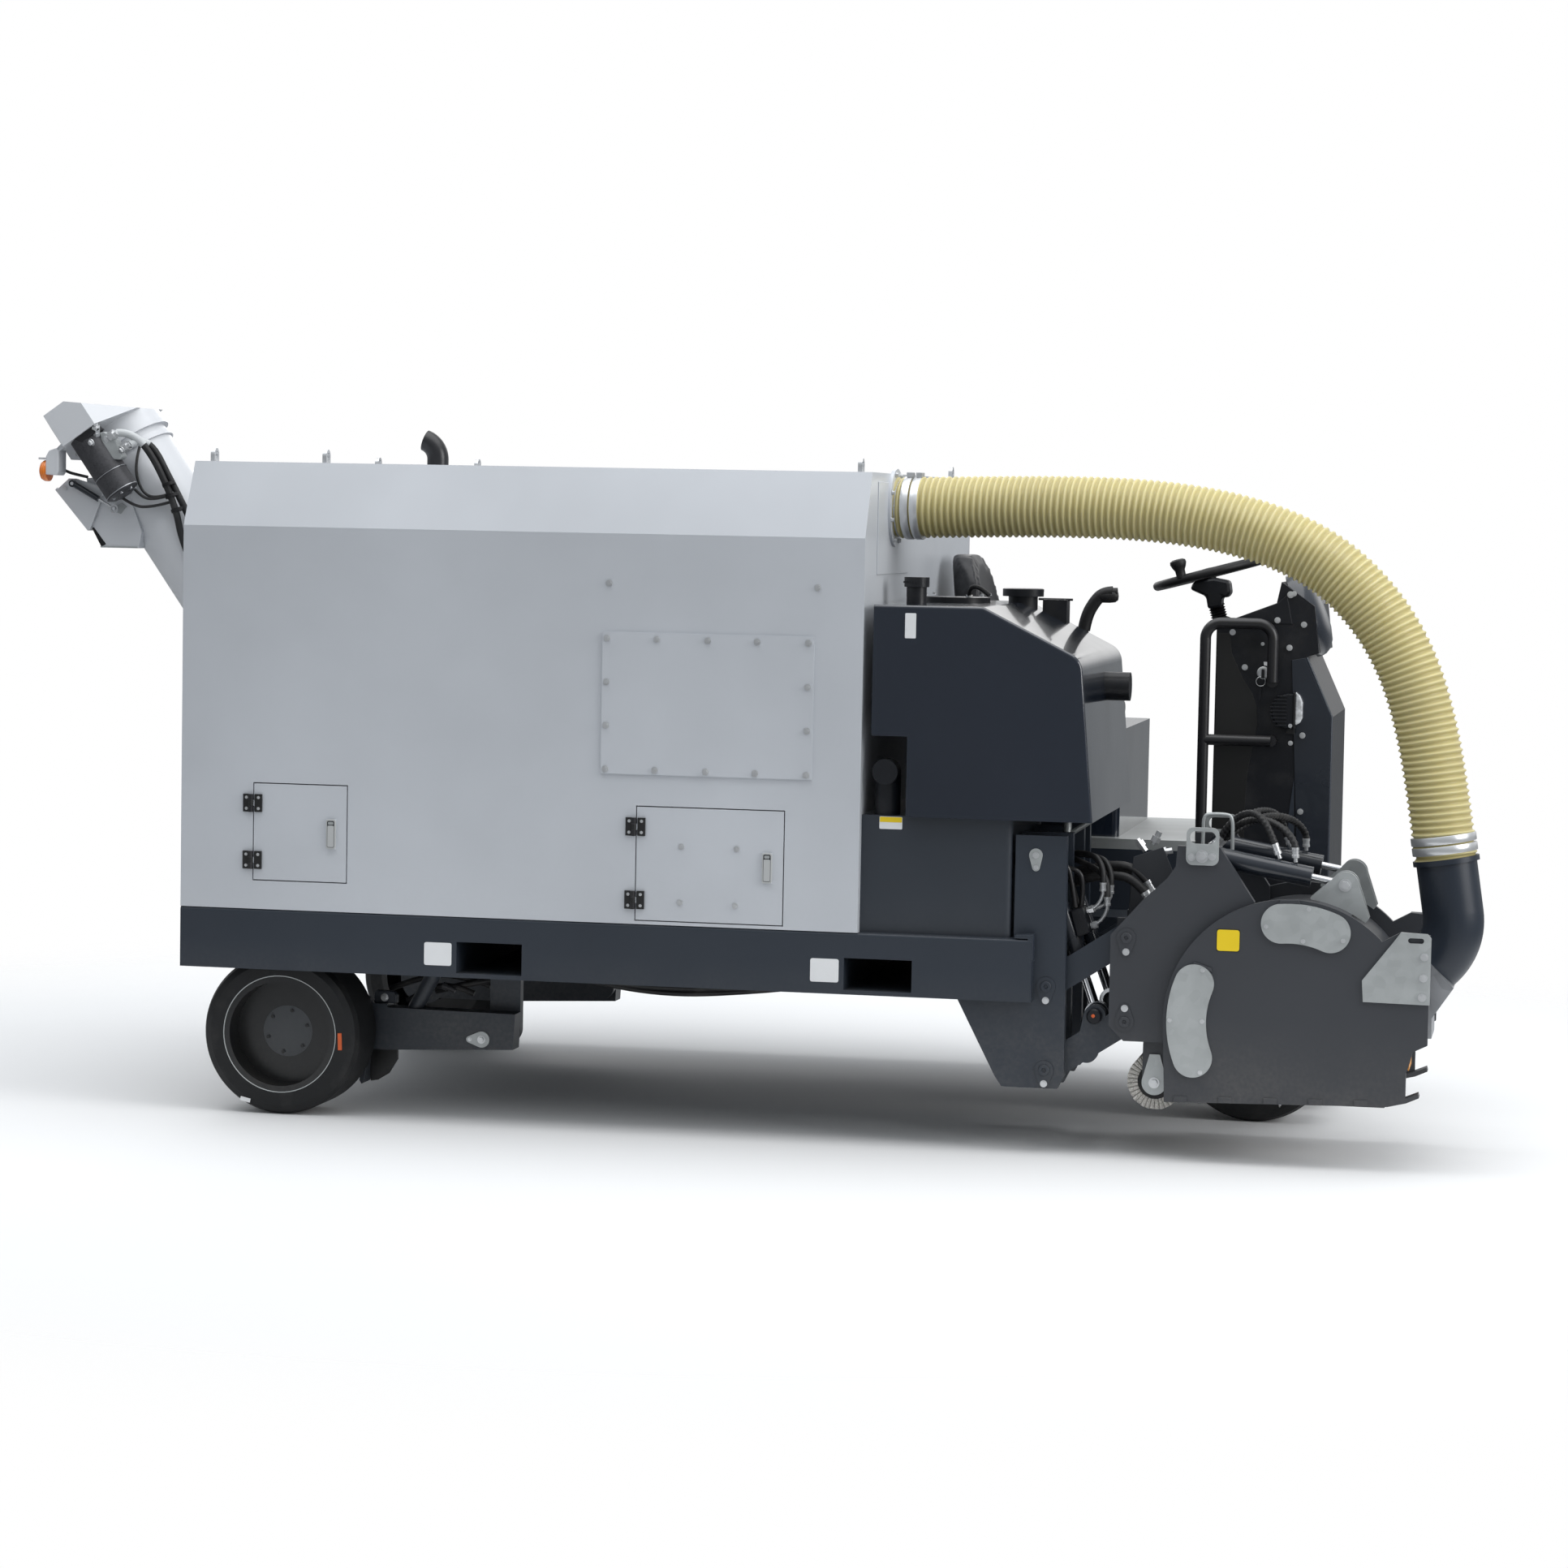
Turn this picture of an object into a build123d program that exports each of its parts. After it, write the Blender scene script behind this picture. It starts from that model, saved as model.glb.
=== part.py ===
from build123d import *
from math import atan2, cos, degrees, hypot, radians, sin
import os

# Compact cold planer with a side-mounted milling head, in millimetres.
# +X runs forwards to the milling head, +Y to the machine's left, +Z up from the ground.
# The origin is on the ground under the middle of the whole machine.
# "Forward" sizes are measured from the body's rear end, "inboard" sizes from the near side.

# Whole machine
body_rear_x = -1430.0
width = 1820.0
body_length = 1941.0
frame_length = 2420.0
frame_bottom_z = 418.0
frame_height = 170.0
skirt = 12.0
deck = 12.0
running_gap = 0.3

# Collector body
body_height = 1252.0
bevel_height = 180.0
bevel_lean = 90.0
panel = 30.0

# Milling head
head_width = 600.0
drum_forward = 3113.0
drum_height = 387.0
drum_shell_radius = 185.0
drum_tip_radius = 238.0
cover_radius = 335.0
skid_plate = 25.0
cover_plate = 8.0
side_clearance = 5.0
head_plate = 30.0

# Wheels
tyre_radius = 228.5
tyre_width = 203.0
rim_radius = 166.0
rear_axle_forward = 276.0
front_leg_forward = 2960.0
front_leg_inboard = 1060.0

near = -width / 2
far = width / 2
frame_top_z = frame_bottom_z + frame_height
body_top_z = frame_top_z + body_height
bevel_z = body_top_z - bevel_height
deck_bottom_z = frame_top_z - deck


def fore(distance):
    """X of a point this far forwards of the body's rear end."""
    return body_rear_x + distance


def inboard(distance):
    """Y of a point this far inwards from the near side."""
    return near + distance


def at(forward, z):
    """Point of the side view."""
    return (fore(forward), z)


def side_plane(y):
    """Plane seen from the near side, X to the right and Z up, at this Y."""
    return Plane(origin=(0, y, 0), x_dir=(1, 0, 0), z_dir=(0, -1, 0))


def block(x0, x1, y0, y1, z0, z1, mode=Mode.ADD):
    """Box between three pairs of faces."""
    with Locations(((x0 + x1) / 2, (y0 + y1) / 2, (z0 + z1) / 2)):
        return Box(x1 - x0, y1 - y0, z1 - z0, mode=mode)


def plate(points, y0, y1, mode=Mode.ADD):
    """Plate with this side outline, from y0 to y1."""
    with BuildSketch(side_plane(y1)) as outline:
        with BuildLine():
            Polyline(*points, close=True)
        make_face()
    return extrude(outline.sketch, amount=y1 - y0, mode=mode)


def bar(start, end, y0, y1, end_radius, mode=Mode.ADD):
    """Flat bar with round ends between two points of the side view, from y0 to y1."""
    turn = degrees(atan2(end[1] - start[1], end[0] - start[0]))
    middle = ((start[0] + end[0]) / 2, (start[1] + end[1]) / 2)
    with BuildSketch(side_plane(y1)) as outline:
        with Locations(Location((middle[0], middle[1], 0), turn)):
            SlotCenterToCenter(hypot(end[0] - start[0], end[1] - start[1]), 2 * end_radius)
    return extrude(outline.sketch, amount=y1 - y0, mode=mode)


def pin(centre, y0, y1, radius, mode=Mode.ADD):
    """Round pin across the machine at a point of the side view, from y0 to y1."""
    with BuildSketch(side_plane(y1)) as outline:
        with Locations(centre):
            Circle(radius)
    return extrude(outline.sketch, amount=y1 - y0, mode=mode)


def rod(start, end, y, radius, mode=Mode.ADD):
    """Round rod between two points of the side view, centred on this Y."""
    along = (end[0] - start[0], 0, end[1] - start[1])
    with BuildSketch(Plane(origin=(start[0], y, start[1]), x_dir=(0, 1, 0), z_dir=along)) as outline:
        Circle(radius)
    return extrude(outline.sketch, amount=hypot(along[0], along[2]), mode=mode)


def toward(start, end, distance):
    """Point this far from start on the way to end."""
    length = hypot(end[0] - start[0], end[1] - start[1])
    return (start[0] + (end[0] - start[0]) * distance / length,
            start[1] + (end[1] - start[1]) * distance / length)


def both_sides(y0, y1, middle):
    """The stretch from y0 to y1 and its mirror image about this middle."""
    return ((y0, y1), (2 * middle - y1, 2 * middle - y0))


pieces = {}


def keep(builder, name):
    """Label a finished piece and keep it for writing."""
    builder.part.label = name
    pieces[name] = builder.part


# Frame: deck plate, side skirts, cross members, fork pockets
pocket_width = 200.0
pocket_height = 100.0
pocket_wall = 6.0
pocket_lift = 6.0
pocket_forward = [903.0, 1999.0]
cross_height = 120.0
head_bay_forward = 2200.0
head_bay_gap = 15.0
rail_stub_width = 38.0
skirt_edge_radius = 9.0
cross_width = 60.0
cross_forward = [30.0, 700.0, 1300.0, 1790.0, 2140.0]
pocket_bottom_z = frame_bottom_z + pocket_lift
head_bay_far = inboard(head_width + head_bay_gap)
cross_bottom_z = deck_bottom_z - cross_height

with BuildPart() as deck_plate:
    block(fore(0), fore(head_bay_forward), near + skirt, far - skirt, deck_bottom_z, frame_top_z)
    block(fore(head_bay_forward), fore(frame_length), head_bay_far, far - skirt, deck_bottom_z, frame_top_z)
keep(deck_plate, "deck_plate")

with BuildPart() as side_rails:
    for y0, y1, outer in ((near, near + skirt, 0), (far - skirt, far, -1)):
        block(fore(0), fore(frame_length), y0, y1, frame_bottom_z, frame_top_z)
        top_edges = side_rails.edges().filter_by(Axis.X).group_by(Axis.Z)[-1]
        fillet(top_edges.sort_by(Axis.Y)[outer], skirt_edge_radius)
    block(fore(head_bay_forward), fore(frame_length), near + skirt, inboard(rail_stub_width),
          frame_bottom_z, frame_top_z)
    for x in pocket_forward:
        block(fore(x) - pocket_width / 2, fore(x) + pocket_width / 2, near - skirt, far + skirt,
              pocket_bottom_z, pocket_bottom_z + pocket_height, mode=Mode.SUBTRACT)
keep(side_rails, "side_rails")

with BuildPart() as cross_members:
    for x in cross_forward:
        block(fore(x), fore(x) + cross_width, near + skirt, far - skirt, cross_bottom_z, deck_bottom_z)
keep(cross_members, "cross_members")

with BuildPart() as fork_pockets:
    for x in pocket_forward:
        x0 = fore(x) - pocket_width / 2
        block(x0, x0 + pocket_width, near, far, pocket_bottom_z, pocket_bottom_z + pocket_height)
        block(x0 + pocket_wall, x0 + pocket_width - pocket_wall, near, far,
              pocket_bottom_z + pocket_wall, pocket_bottom_z + pocket_height - pocket_wall, mode=Mode.SUBTRACT)
keep(fork_pockets, "fork_pockets")

# Collector body: side walls with a bent top, end walls and roof
door_gap = 3.0
doors = {
    # name: left edge forwards, width, bottom z, height
    "rear_door": (215.0, 271.0, 671.0, 270.0),
    "front_door": (1319.0, 412.0, 600.0, 312.0),
}
bevel_face = hypot(bevel_lean, bevel_height)


def body_outline(inset):
    """Outline of the body seen along X, drawn this far inside its skin."""
    side = width / 2 - inset
    bend = bevel_z - inset * (bevel_face - bevel_height) / bevel_lean
    top = body_top_z - inset
    edge = side - (top - bend) * bevel_lean / bevel_height
    return [(-side, frame_top_z), (-side, bend), (-edge, top), (edge, top), (side, bend), (side, frame_top_z)]


def body_prism(forward, length, inset, mode=Mode.ADD):
    """Stretch of the body's outline along X."""
    with BuildSketch(Plane.YZ.offset(fore(forward))) as outline:
        with BuildLine():
            Polyline(*body_outline(inset), close=True)
        make_face()
    return extrude(outline.sketch, amount=length, mode=mode)


roof_half_width = width / 2 - bevel_lean
with BuildPart() as side_walls:
    body_prism(0, body_length, 0)
    body_prism(0, body_length, panel, mode=Mode.SUBTRACT)
    block(fore(0), fore(body_length), -roof_half_width, roof_half_width, body_top_z - panel, body_top_z,
          mode=Mode.SUBTRACT)
    for left, wide, low, high in doors.values():
        block(fore(left) - door_gap, fore(left) + wide + door_gap, near - panel, near + 2 * panel,
              low - door_gap, low + high + door_gap, mode=Mode.SUBTRACT)
keep(side_walls, "side_walls")

# Suction hose from the front wall to the head, straight runs joined by tangent arcs in one upright plane
hose_inboard = 430.0
hose_radius = 86.0
hose_wall = 6.0
duct_z = 1745.0
duct_length = 45.0
duct_flange_radius = 109.0
duct_flange = 10.0
spigot_radius = hose_radius - hose_wall - running_gap
hose_tilt_room = 8.0
elbow_top = (3505.0, 825.0)
head_middle = inboard(head_width / 2)
hose_start = (body_length + duct_flange + hose_tilt_room, duct_z)
hose_points = [hose_start, (2620.0, 1760.0), (3110.0, 1665.0), (3390.0, 1375.0), (3468.0, 1060.0), elbow_top]
hose_radii = [1700.0, 560.0, 500.0, 1500.0]
hose_slope = (head_middle - inboard(hose_inboard)) / (elbow_top[0] - hose_start[0])


def hose_spot(forward, z):
    """Point of the upright plane that the hose and the elbow under it run in."""
    return (fore(forward), inboard(hose_inboard) + (forward - hose_start[0]) * hose_slope, z)


with BuildPart() as suction_hose:
    with BuildLine() as hose_line:
        FilletPolyline(*[hose_spot(*point) for point in hose_points], radius=hose_radii)
    with BuildSketch(Plane(origin=hose_line.line @ 0, z_dir=hose_line.line % 0)):
        Circle(hose_radius)
        Circle(hose_radius - hose_wall, mode=Mode.SUBTRACT)
    sweep()
keep(suction_hose, "suction_hose")

with BuildPart() as end_walls:
    body_prism(0, panel, panel)
    body_prism(body_length - panel, panel, panel)
keep(end_walls, "end_walls")

with BuildPart() as roof_panel:
    block(fore(0), fore(body_length), -roof_half_width, roof_half_width, body_top_z - panel, body_top_z)
keep(roof_panel, "roof_panel")

with BuildPart() as hose_flange:
    with BuildSketch(Plane.YZ.offset(fore(body_length))):
        with Locations((inboard(hose_inboard), duct_z)):
            Circle(duct_flange_radius)
    extrude(amount=duct_flange)
    with BuildSketch(Plane(origin=hose_line.line @ 0, z_dir=hose_line.line % 0)):
        Circle(spigot_radius)
    extrude(amount=duct_length)
    with BuildSketch(Plane(origin=hose_line.line @ 0, z_dir=hose_line.line % 0)):
        Circle(spigot_radius)
    extrude(amount=-hose_tilt_room)
keep(hose_flange, "hose_flange")

access_forward = (1215.0, 1807.0)
access_z = (1001.0, 1390.0)
access_thickness = 6.0
with BuildPart() as access_panel:
    block(fore(access_forward[0]), fore(access_forward[1]), near - access_thickness, near,
          access_z[0], access_z[1])
keep(access_panel, "access_panel")

# Service doors with their hinge leaves and latches
hinge_height = 50.0
hinge_leaf = 5.0
hinge_leaf_width = 24.0
knuckle_radius = 7.0
knuckle_gap = 0.5
hinge_pin_radius = 3.0
hinge_inset = 55.0
latch_width = 27.0
latch_height = 83.0
latch_depth = 7.0
latch_inset = 30.0
door_axis_y = near - knuckle_radius - knuckle_gap


def hinge_axes(left, low, high):
    """Middle of each of a door's two hinge pins."""
    return [(fore(left) - knuckle_radius, door_axis_y, z) for z in (low + hinge_inset, low + high - hinge_inset)]


for name, (left, wide, low, high) in doors.items():
    with BuildPart() as door:
        block(fore(left), fore(left) + wide, near, near + panel, low, low + high)
        for x, y, z in hinge_axes(left, low, high):
            block(fore(left) + door_gap, fore(left) + hinge_leaf_width, near - hinge_leaf, near,
                  z - hinge_height / 2, z + hinge_height / 2)
            block(x, fore(left) + door_gap, near - hinge_leaf, near, z - hinge_height / 6, z + hinge_height / 6)
            with Locations((x, y, z)):
                Cylinder(knuckle_radius, hinge_height / 3)
                Cylinder(hinge_pin_radius + running_gap, hinge_height, mode=Mode.SUBTRACT)
        latch_right = fore(left) + wide - latch_inset
        block(latch_right - latch_width, latch_right, near - latch_depth, near,
              low + (high - latch_height) / 2, low + (high + latch_height) / 2)
    keep(door, name)

with BuildPart() as door_hinges:
    for left, wide, low, high in doors.values():
        for x, y, z in hinge_axes(left, low, high):
            block(x - hinge_leaf_width, x, near - hinge_leaf, near, z - hinge_height / 2, z + hinge_height / 2)
            with Locations((x, y, z)):
                Cylinder(knuckle_radius, hinge_height)
                Cylinder(knuckle_radius + knuckle_gap, hinge_height / 3 + 2 * running_gap, mode=Mode.SUBTRACT)
                Cylinder(hinge_pin_radius, hinge_height)
keep(door_hinges, "door_hinges")

# Roof fittings
eye_radius = 19.0
eye_hole_radius = 11.0
eye_thickness = 12.0
eye_rise = 19.0
eye_inset = 50.0
eye_forward = [40.0, 370.0, 1900.0]
with BuildPart() as lifting_eyes:
    for x in eye_forward:
        for y in (-roof_half_width + eye_inset, roof_half_width - eye_inset):
            with BuildSketch(Plane.YZ.offset(fore(x) - eye_thickness / 2)):
                with Locations((y, body_top_z + eye_rise)):
                    Circle(eye_radius)
                with Locations((y, body_top_z + eye_rise / 2)):
                    Rectangle(2 * eye_radius, eye_rise)
                with Locations((y, body_top_z + eye_rise)):
                    Circle(eye_hole_radius, mode=Mode.SUBTRACT)
            extrude(amount=eye_thickness)
keep(lifting_eyes, "lifting_eyes")

exhaust_forward = 470.0
exhaust_inboard = 900.0
exhaust_radius = 32.0
exhaust_wall = 4.0
exhaust_rise = 25.0
exhaust_bend = 60.0
exhaust_turn = 70.0
with BuildPart() as exhaust_pipe:
    with BuildSketch(Plane.XY.offset(body_top_z)):
        with Locations((fore(exhaust_forward), inboard(exhaust_inboard))):
            Circle(exhaust_radius)
            Circle(exhaust_radius - exhaust_wall, mode=Mode.SUBTRACT)
    extrude(amount=exhaust_rise)
    with BuildSketch(Plane.XY.offset(body_top_z + exhaust_rise)):
        with Locations((fore(exhaust_forward), inboard(exhaust_inboard))):
            Circle(exhaust_radius)
            Circle(exhaust_radius - exhaust_wall, mode=Mode.SUBTRACT)
    bend_axis = Axis((fore(exhaust_forward) - exhaust_bend, 0, body_top_z + exhaust_rise), (0, -1, 0))
    revolve(axis=bend_axis, revolution_arc=exhaust_turn)
keep(exhaust_pipe, "exhaust_pipe")

# Engine behind the rear door, one plain block on the deck
engine_forward = (430.0, 1130.0)
engine_inboard = (600.0, 1250.0)
engine_height = 620.0
with BuildPart() as engine_block:
    block(fore(engine_forward[0]), fore(engine_forward[1]), inboard(engine_inboard[0]),
          inboard(engine_inboard[1]), frame_top_z, frame_top_z + engine_height)
keep(engine_block, "engine_block")

# Tank under its hood, ahead of the body on the near side
tank_forward = (body_length, 2356.0)
tank_inboard = (30.0, 880.0)
tank_top_z = 909.0
tank_corner_radius = 18.0
with BuildPart() as lower_tank:
    block(fore(tank_forward[0]), fore(tank_forward[1]), inboard(tank_inboard[0]), inboard(tank_inboard[1]),
          frame_top_z, tank_top_z)
    fillet(lower_tank.edges().filter_by(Axis.Z).group_by(Axis.X)[-1], tank_corner_radius)
keep(lower_tank, "lower_tank")

hood_width = 911.0
hood_top_z = 1482.0
hood_slant_forward = 2267.0
hood_front_top = (2536.0, 1348.0)
hood_front_forward = 2575.0
hood_rear_forward = 1968.0
notch_forward = 2067.0
notch_z = 1127.0
hood_brow_radius = 25.0
hood_nose_radius = 55.0
hood_side_radius = 8.0
hood_outline = [(hood_rear_forward, hood_top_z), (hood_slant_forward, hood_top_z), hood_front_top,
                (hood_front_forward, tank_top_z), (notch_forward, tank_top_z), (notch_forward, notch_z),
                (hood_rear_forward, notch_z)]
with BuildPart() as tank_hood:
    plate([at(*point) for point in hood_outline], near, inboard(hood_width))
    for corner, radius in (((hood_slant_forward, hood_top_z), hood_brow_radius), (hood_front_top, hood_nose_radius)):
        fillet(tank_hood.edges().filter_by(Axis.Y).sort_by_distance((fore(corner[0]), 0, corner[1]))[0], radius)
    side_edges = tank_hood.edges().filter_by(Axis.Y, reverse=True)
    side_edges = side_edges.filter_by(lambda edge: edge.center().X > fore(notch_forward) + 1)
    fillet(side_edges.filter_by(lambda edge: edge.center().Z > tank_top_z + 1), hood_side_radius)
keep(tank_hood, "tank_hood")

# Air intake in the hood's notch, and the fittings on the hood
intake_radius = 35.0
intake_centre = (2004.0, 1028.0)
intake_inboard = 75.0
intake_face_inboard = 20.0
caps = [
    # forward, inboard, radius, low z, high z
    (2034.0, 300.0, 28.0, hood_top_z, 1527.0),
    (2034.0, 300.0, 35.0, 1527.0, 1554.0),
    (2110.0, 550.0, 92.0, hood_top_z, 1497.0),
    (2268.0, 750.0, 42.0, 1440.0, 1499.0),
    (2268.0, 750.0, 59.0, 1499.0, 1520.0),
]
relay_forward = (2318.0, 2388.0)
relay_inboard = (800.0, 870.0)
relay_z = (1400.0, 1490.0)
horn_forward = (2520.0, 2612.0)
horn_z = 1258.0
horn_inboard = 500.0
horn_radius = 40.0
with BuildPart() as tank_fittings:
    with Locations((fore(intake_centre[0]), inboard(intake_inboard), (tank_top_z + intake_centre[1]) / 2)):
        Cylinder(intake_radius, intake_centre[1] - tank_top_z)
    pin(at(*intake_centre), inboard(intake_face_inboard), inboard(intake_inboard), intake_radius)
    with Locations((fore(intake_centre[0]), inboard(intake_inboard), intake_centre[1])):
        Sphere(intake_radius)
    for forward, across, radius, low, high in caps:
        with Locations((fore(forward), inboard(across), (low + high) / 2)):
            Cylinder(radius, high - low)
    block(fore(relay_forward[0]), fore(relay_forward[1]), inboard(relay_inboard[0]), inboard(relay_inboard[1]), *relay_z)
    rod(at(horn_forward[0], horn_z), at(horn_forward[1], horn_z), inboard(horn_inboard), horn_radius)
    plate([at(*point) for point in hood_outline], near, inboard(hood_width), mode=Mode.SUBTRACT)
keep(tank_fittings, "tank_fittings")

# Operator's place on the far side
platform_inboard = 935.0
platform_z = 795.0
platform_thickness = 30.0
console_forward = 2800.0
console_inboard = (1020.0, 1620.0)
subframe_front = 3143.0
subframe_inboard = 700.0
subframe_thickness = 60.0
riser = 12.0
with BuildPart() as front_subframe:
    block(fore(frame_length), fore(subframe_front), inboard(subframe_inboard), far,
          frame_top_z - subframe_thickness, frame_top_z)
    for y0, y1 in ((inboard(platform_inboard), inboard(platform_inboard) + riser), (far - riser, far)):
        block(fore(body_length), fore(console_forward), y0, y1, frame_top_z, platform_z - platform_thickness)
keep(front_subframe, "front_subframe")

with BuildPart() as platform:
    block(fore(body_length), fore(console_forward), inboard(platform_inboard), far,
          platform_z - platform_thickness, platform_z)
keep(platform, "platform")

console = [(2800.0, 588.0), (2800.0, 1430.0), (2960.0, 1430.0), (2985.0, 1552.0), (3082.0, 1484.0),
           (3098.0, 1348.0), (3062.0, 1336.0), (3141.0, 1162.0), (3143.0, 588.0)]
with BuildPart() as console_tower:
    plate([at(*point) for point in console], inboard(console_inboard[0]), inboard(console_inboard[1]))
keep(console_tower, "console_tower")

wheel_centre = (2740.0, 1568.0)
console_top_z = 1430.0
wheel_inboard = 1350.0
wheel_tilt = 15.6
wheel_radius = 156.0
wheel_rim_radius = 14.0
wheel_hub_radius = 34.0
wheel_hub_height = 26.0
column_radius = 20.0
column_drop = (wheel_centre[1] - console_top_z) / cos(radians(wheel_tilt))
wheel_up = (-sin(radians(wheel_tilt)), 0, cos(radians(wheel_tilt)))
wheel_origin = (fore(wheel_centre[0]), inboard(wheel_inboard), wheel_centre[1])
wheel_plane = Plane(origin=wheel_origin, x_dir=(0, 1, 0), z_dir=wheel_up)
wheel_spoke_radius = 8.0
wheel_spokes = (90, 210, 330)
knob_radius = 11.0
knob_height = 48.0
with BuildPart() as steering_wheel:
    with Locations(wheel_plane.location):
        Torus(wheel_radius, wheel_rim_radius)
        Cylinder(wheel_hub_radius, wheel_hub_height)
    for turn in wheel_spokes:
        spoke_out = wheel_plane.x_dir * cos(radians(turn)) + wheel_plane.y_dir * sin(radians(turn))
        with BuildSketch(Plane(origin=wheel_origin, z_dir=spoke_out)):
            Circle(wheel_spoke_radius)
        extrude(amount=wheel_radius)
    with BuildSketch(wheel_plane):
        with Locations((-wheel_radius, 0)):
            Circle(knob_radius)
    extrude(amount=knob_height)
keep(steering_wheel, "steering_wheel")

lever_inboard = 965.0
lever_radius = 14.0
lever_points = [(2418.0, platform_z), (2418.0, 1425.0), (2466.0, 1510.0), (2514.0, 1512.0)]
lever_bend = 55.0
with BuildPart() as hand_controls:
    with BuildSketch(wheel_plane.offset(-wheel_hub_height / 2 - running_gap)):
        Circle(column_radius)
    extrude(amount=-2 * column_drop)
    block(fore(wheel_centre[0]), fore(subframe_front), near, far, 0, console_top_z, mode=Mode.SUBTRACT)
    with BuildLine() as lever_line:
        FilletPolyline(*[(fore(x), inboard(lever_inboard), z) for x, z in lever_points], radius=lever_bend)
    with BuildSketch(Plane(origin=lever_line.line @ 0, z_dir=lever_line.line % 0)):
        Circle(lever_radius)
    sweep()
keep(hand_controls, "hand_controls")

seat_base_forward = (1990.0, 2530.0)
seat_base_inboard = (1000.0, 1780.0)
seat_base_height = 313.0
seat_base_radius = 20.0
seat_base_top_z = platform_z + seat_base_height
with BuildPart() as seat_base:
    block(fore(seat_base_forward[0]), fore(seat_base_forward[1]), inboard(seat_base_inboard[0]),
          inboard(seat_base_inboard[1]), platform_z, seat_base_top_z)
    fillet(seat_base.edges().filter_by(Axis.Z), seat_base_radius)
keep(seat_base, "seat_base")

seat_inboard = (1115.0, 1585.0)
seat_pan_height = 82.0
seat_front_forward = 2500.0
seat_back_top_z = 1625.0
seat_back_forward = (1985.0, 2062.0)
seat_root_forward = (2010.0, 2092.0)
seat_corner_radius = 30.0
with BuildPart() as seat:
    plate([at(seat_root_forward[0], seat_base_top_z), at(seat_back_forward[0], seat_back_top_z),
           at(seat_back_forward[1], seat_back_top_z), at(seat_root_forward[1], seat_base_top_z + seat_pan_height),
           at(seat_front_forward, seat_base_top_z + seat_pan_height), at(seat_front_forward, seat_base_top_z)],
          inboard(seat_inboard[0]), inboard(seat_inboard[1]))
    fillet(seat.edges().filter_by(Axis.Y).group_by(Axis.Z)[-1], seat_corner_radius)
keep(seat, "seat")

# Grab rail on the console's near side
rail_radius = 16.0
rail_inboard = 985.0
rail_post_forward = 2772.0
rail_top_z = 1430.0
rail_drop_forward = 2968.0
rail_end_z = 1262.0
rail_mid_z = 1090.0
rail_bend = 45.0
rail_y = inboard(rail_inboard)
with BuildPart() as grab_rail:
    with BuildLine() as rail_line:
        FilletPolyline((fore(rail_post_forward), rail_y, platform_z), (fore(rail_post_forward), rail_y, rail_top_z),
                       (fore(rail_drop_forward), rail_y, rail_top_z), (fore(rail_drop_forward), rail_y, rail_end_z),
                       radius=rail_bend)
    with BuildSketch(Plane.XY.offset(platform_z)):
        with Locations((fore(rail_post_forward), rail_y)):
            Circle(rail_radius)
    sweep()
    with BuildSketch(Plane.YZ.offset(fore(rail_post_forward))):
        with Locations((rail_y, rail_mid_z)):
            Circle(rail_radius)
    extrude(amount=rail_drop_forward - rail_post_forward)
    for z in (rail_mid_z, rail_end_z):
        pin((fore(rail_drop_forward), z), rail_y, inboard(console_inboard[0]), rail_radius)
keep(grab_rail, "grab_rail")

lamp_forward = (2945.0, 3022.0)
lamp_z = (1132.0, 1230.0)
lamp_depth = 45.0
with BuildPart() as work_light:
    block(fore(lamp_forward[0]), fore(lamp_forward[1]), inboard(console_inboard[0]) - lamp_depth,
          inboard(console_inboard[0]), lamp_z[0], lamp_z[1])
keep(work_light, "work_light")

# Linkage planes across the head, each with its mirror image on the head's far side
skid_y = (inboard(cover_plate), inboard(cover_plate + skid_plate))
skid_bearing_radius = 70.0
skid_bearing_y = inboard(cover_plate + skid_plate / 2)
head_plate_y0 = skid_y[1] + side_clearance
head_plate_y = (head_plate_y0, head_plate_y0 + head_plate)
link_gap = 4.0
link_thickness = 30.0
link_y = (head_plate_y[1] + link_gap, head_plate_y[1] + link_gap + link_thickness)
cylinder_radius = 25.0
cylinder_rod_radius = 14.0
cylinder_y = link_y[1] + 8 + cylinder_radius
inner_plate_y = (cylinder_y + cylinder_radius + 8, cylinder_y + cylinder_radius + 8 + head_plate)

# Columns that carry the head's parallel links
cylinder_top = at(2424.0, 818.0)
upper_column_pin = at(2456.0, 459.0)
lower_column_pin = at(2456.0, 231.0)
upper_head_pin = at(2671.0, 600.0)
lower_head_pin = at(2671.0, 372.0)
cylinder_foot = at(2586.0, 380.0)
pin_radius = 18.0
eye = 38.0
column_top_z = 868.0
column = [(2212.0, 418.0), (2212.0, 588.0), (2365.0, 588.0), (2365.0, column_top_z), (2504.0, column_top_z),
          (2510.0, 216.0), (2492.0, 181.0), (2340.0, 181.0), (2320.0, 210.0)]
column_box = (2200.0, 2300.0)
with BuildPart() as link_columns:
    for y0, y1 in (head_plate_y, inner_plate_y):
        for a, b in both_sides(y0, y1, head_middle):
            plate([at(*point) for point in column], a, b)
    block(fore(column_box[0]), fore(column_box[1]), head_plate_y[0], 2 * head_middle - head_plate_y[0],
          cross_bottom_z, frame_top_z)
    for centre in (cylinder_top, upper_column_pin, lower_column_pin):
        for a, b in both_sides(head_plate_y[0], inner_plate_y[1], head_middle):
            pin(centre, a, b, pin_radius)
keep(link_columns, "link_columns")

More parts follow.
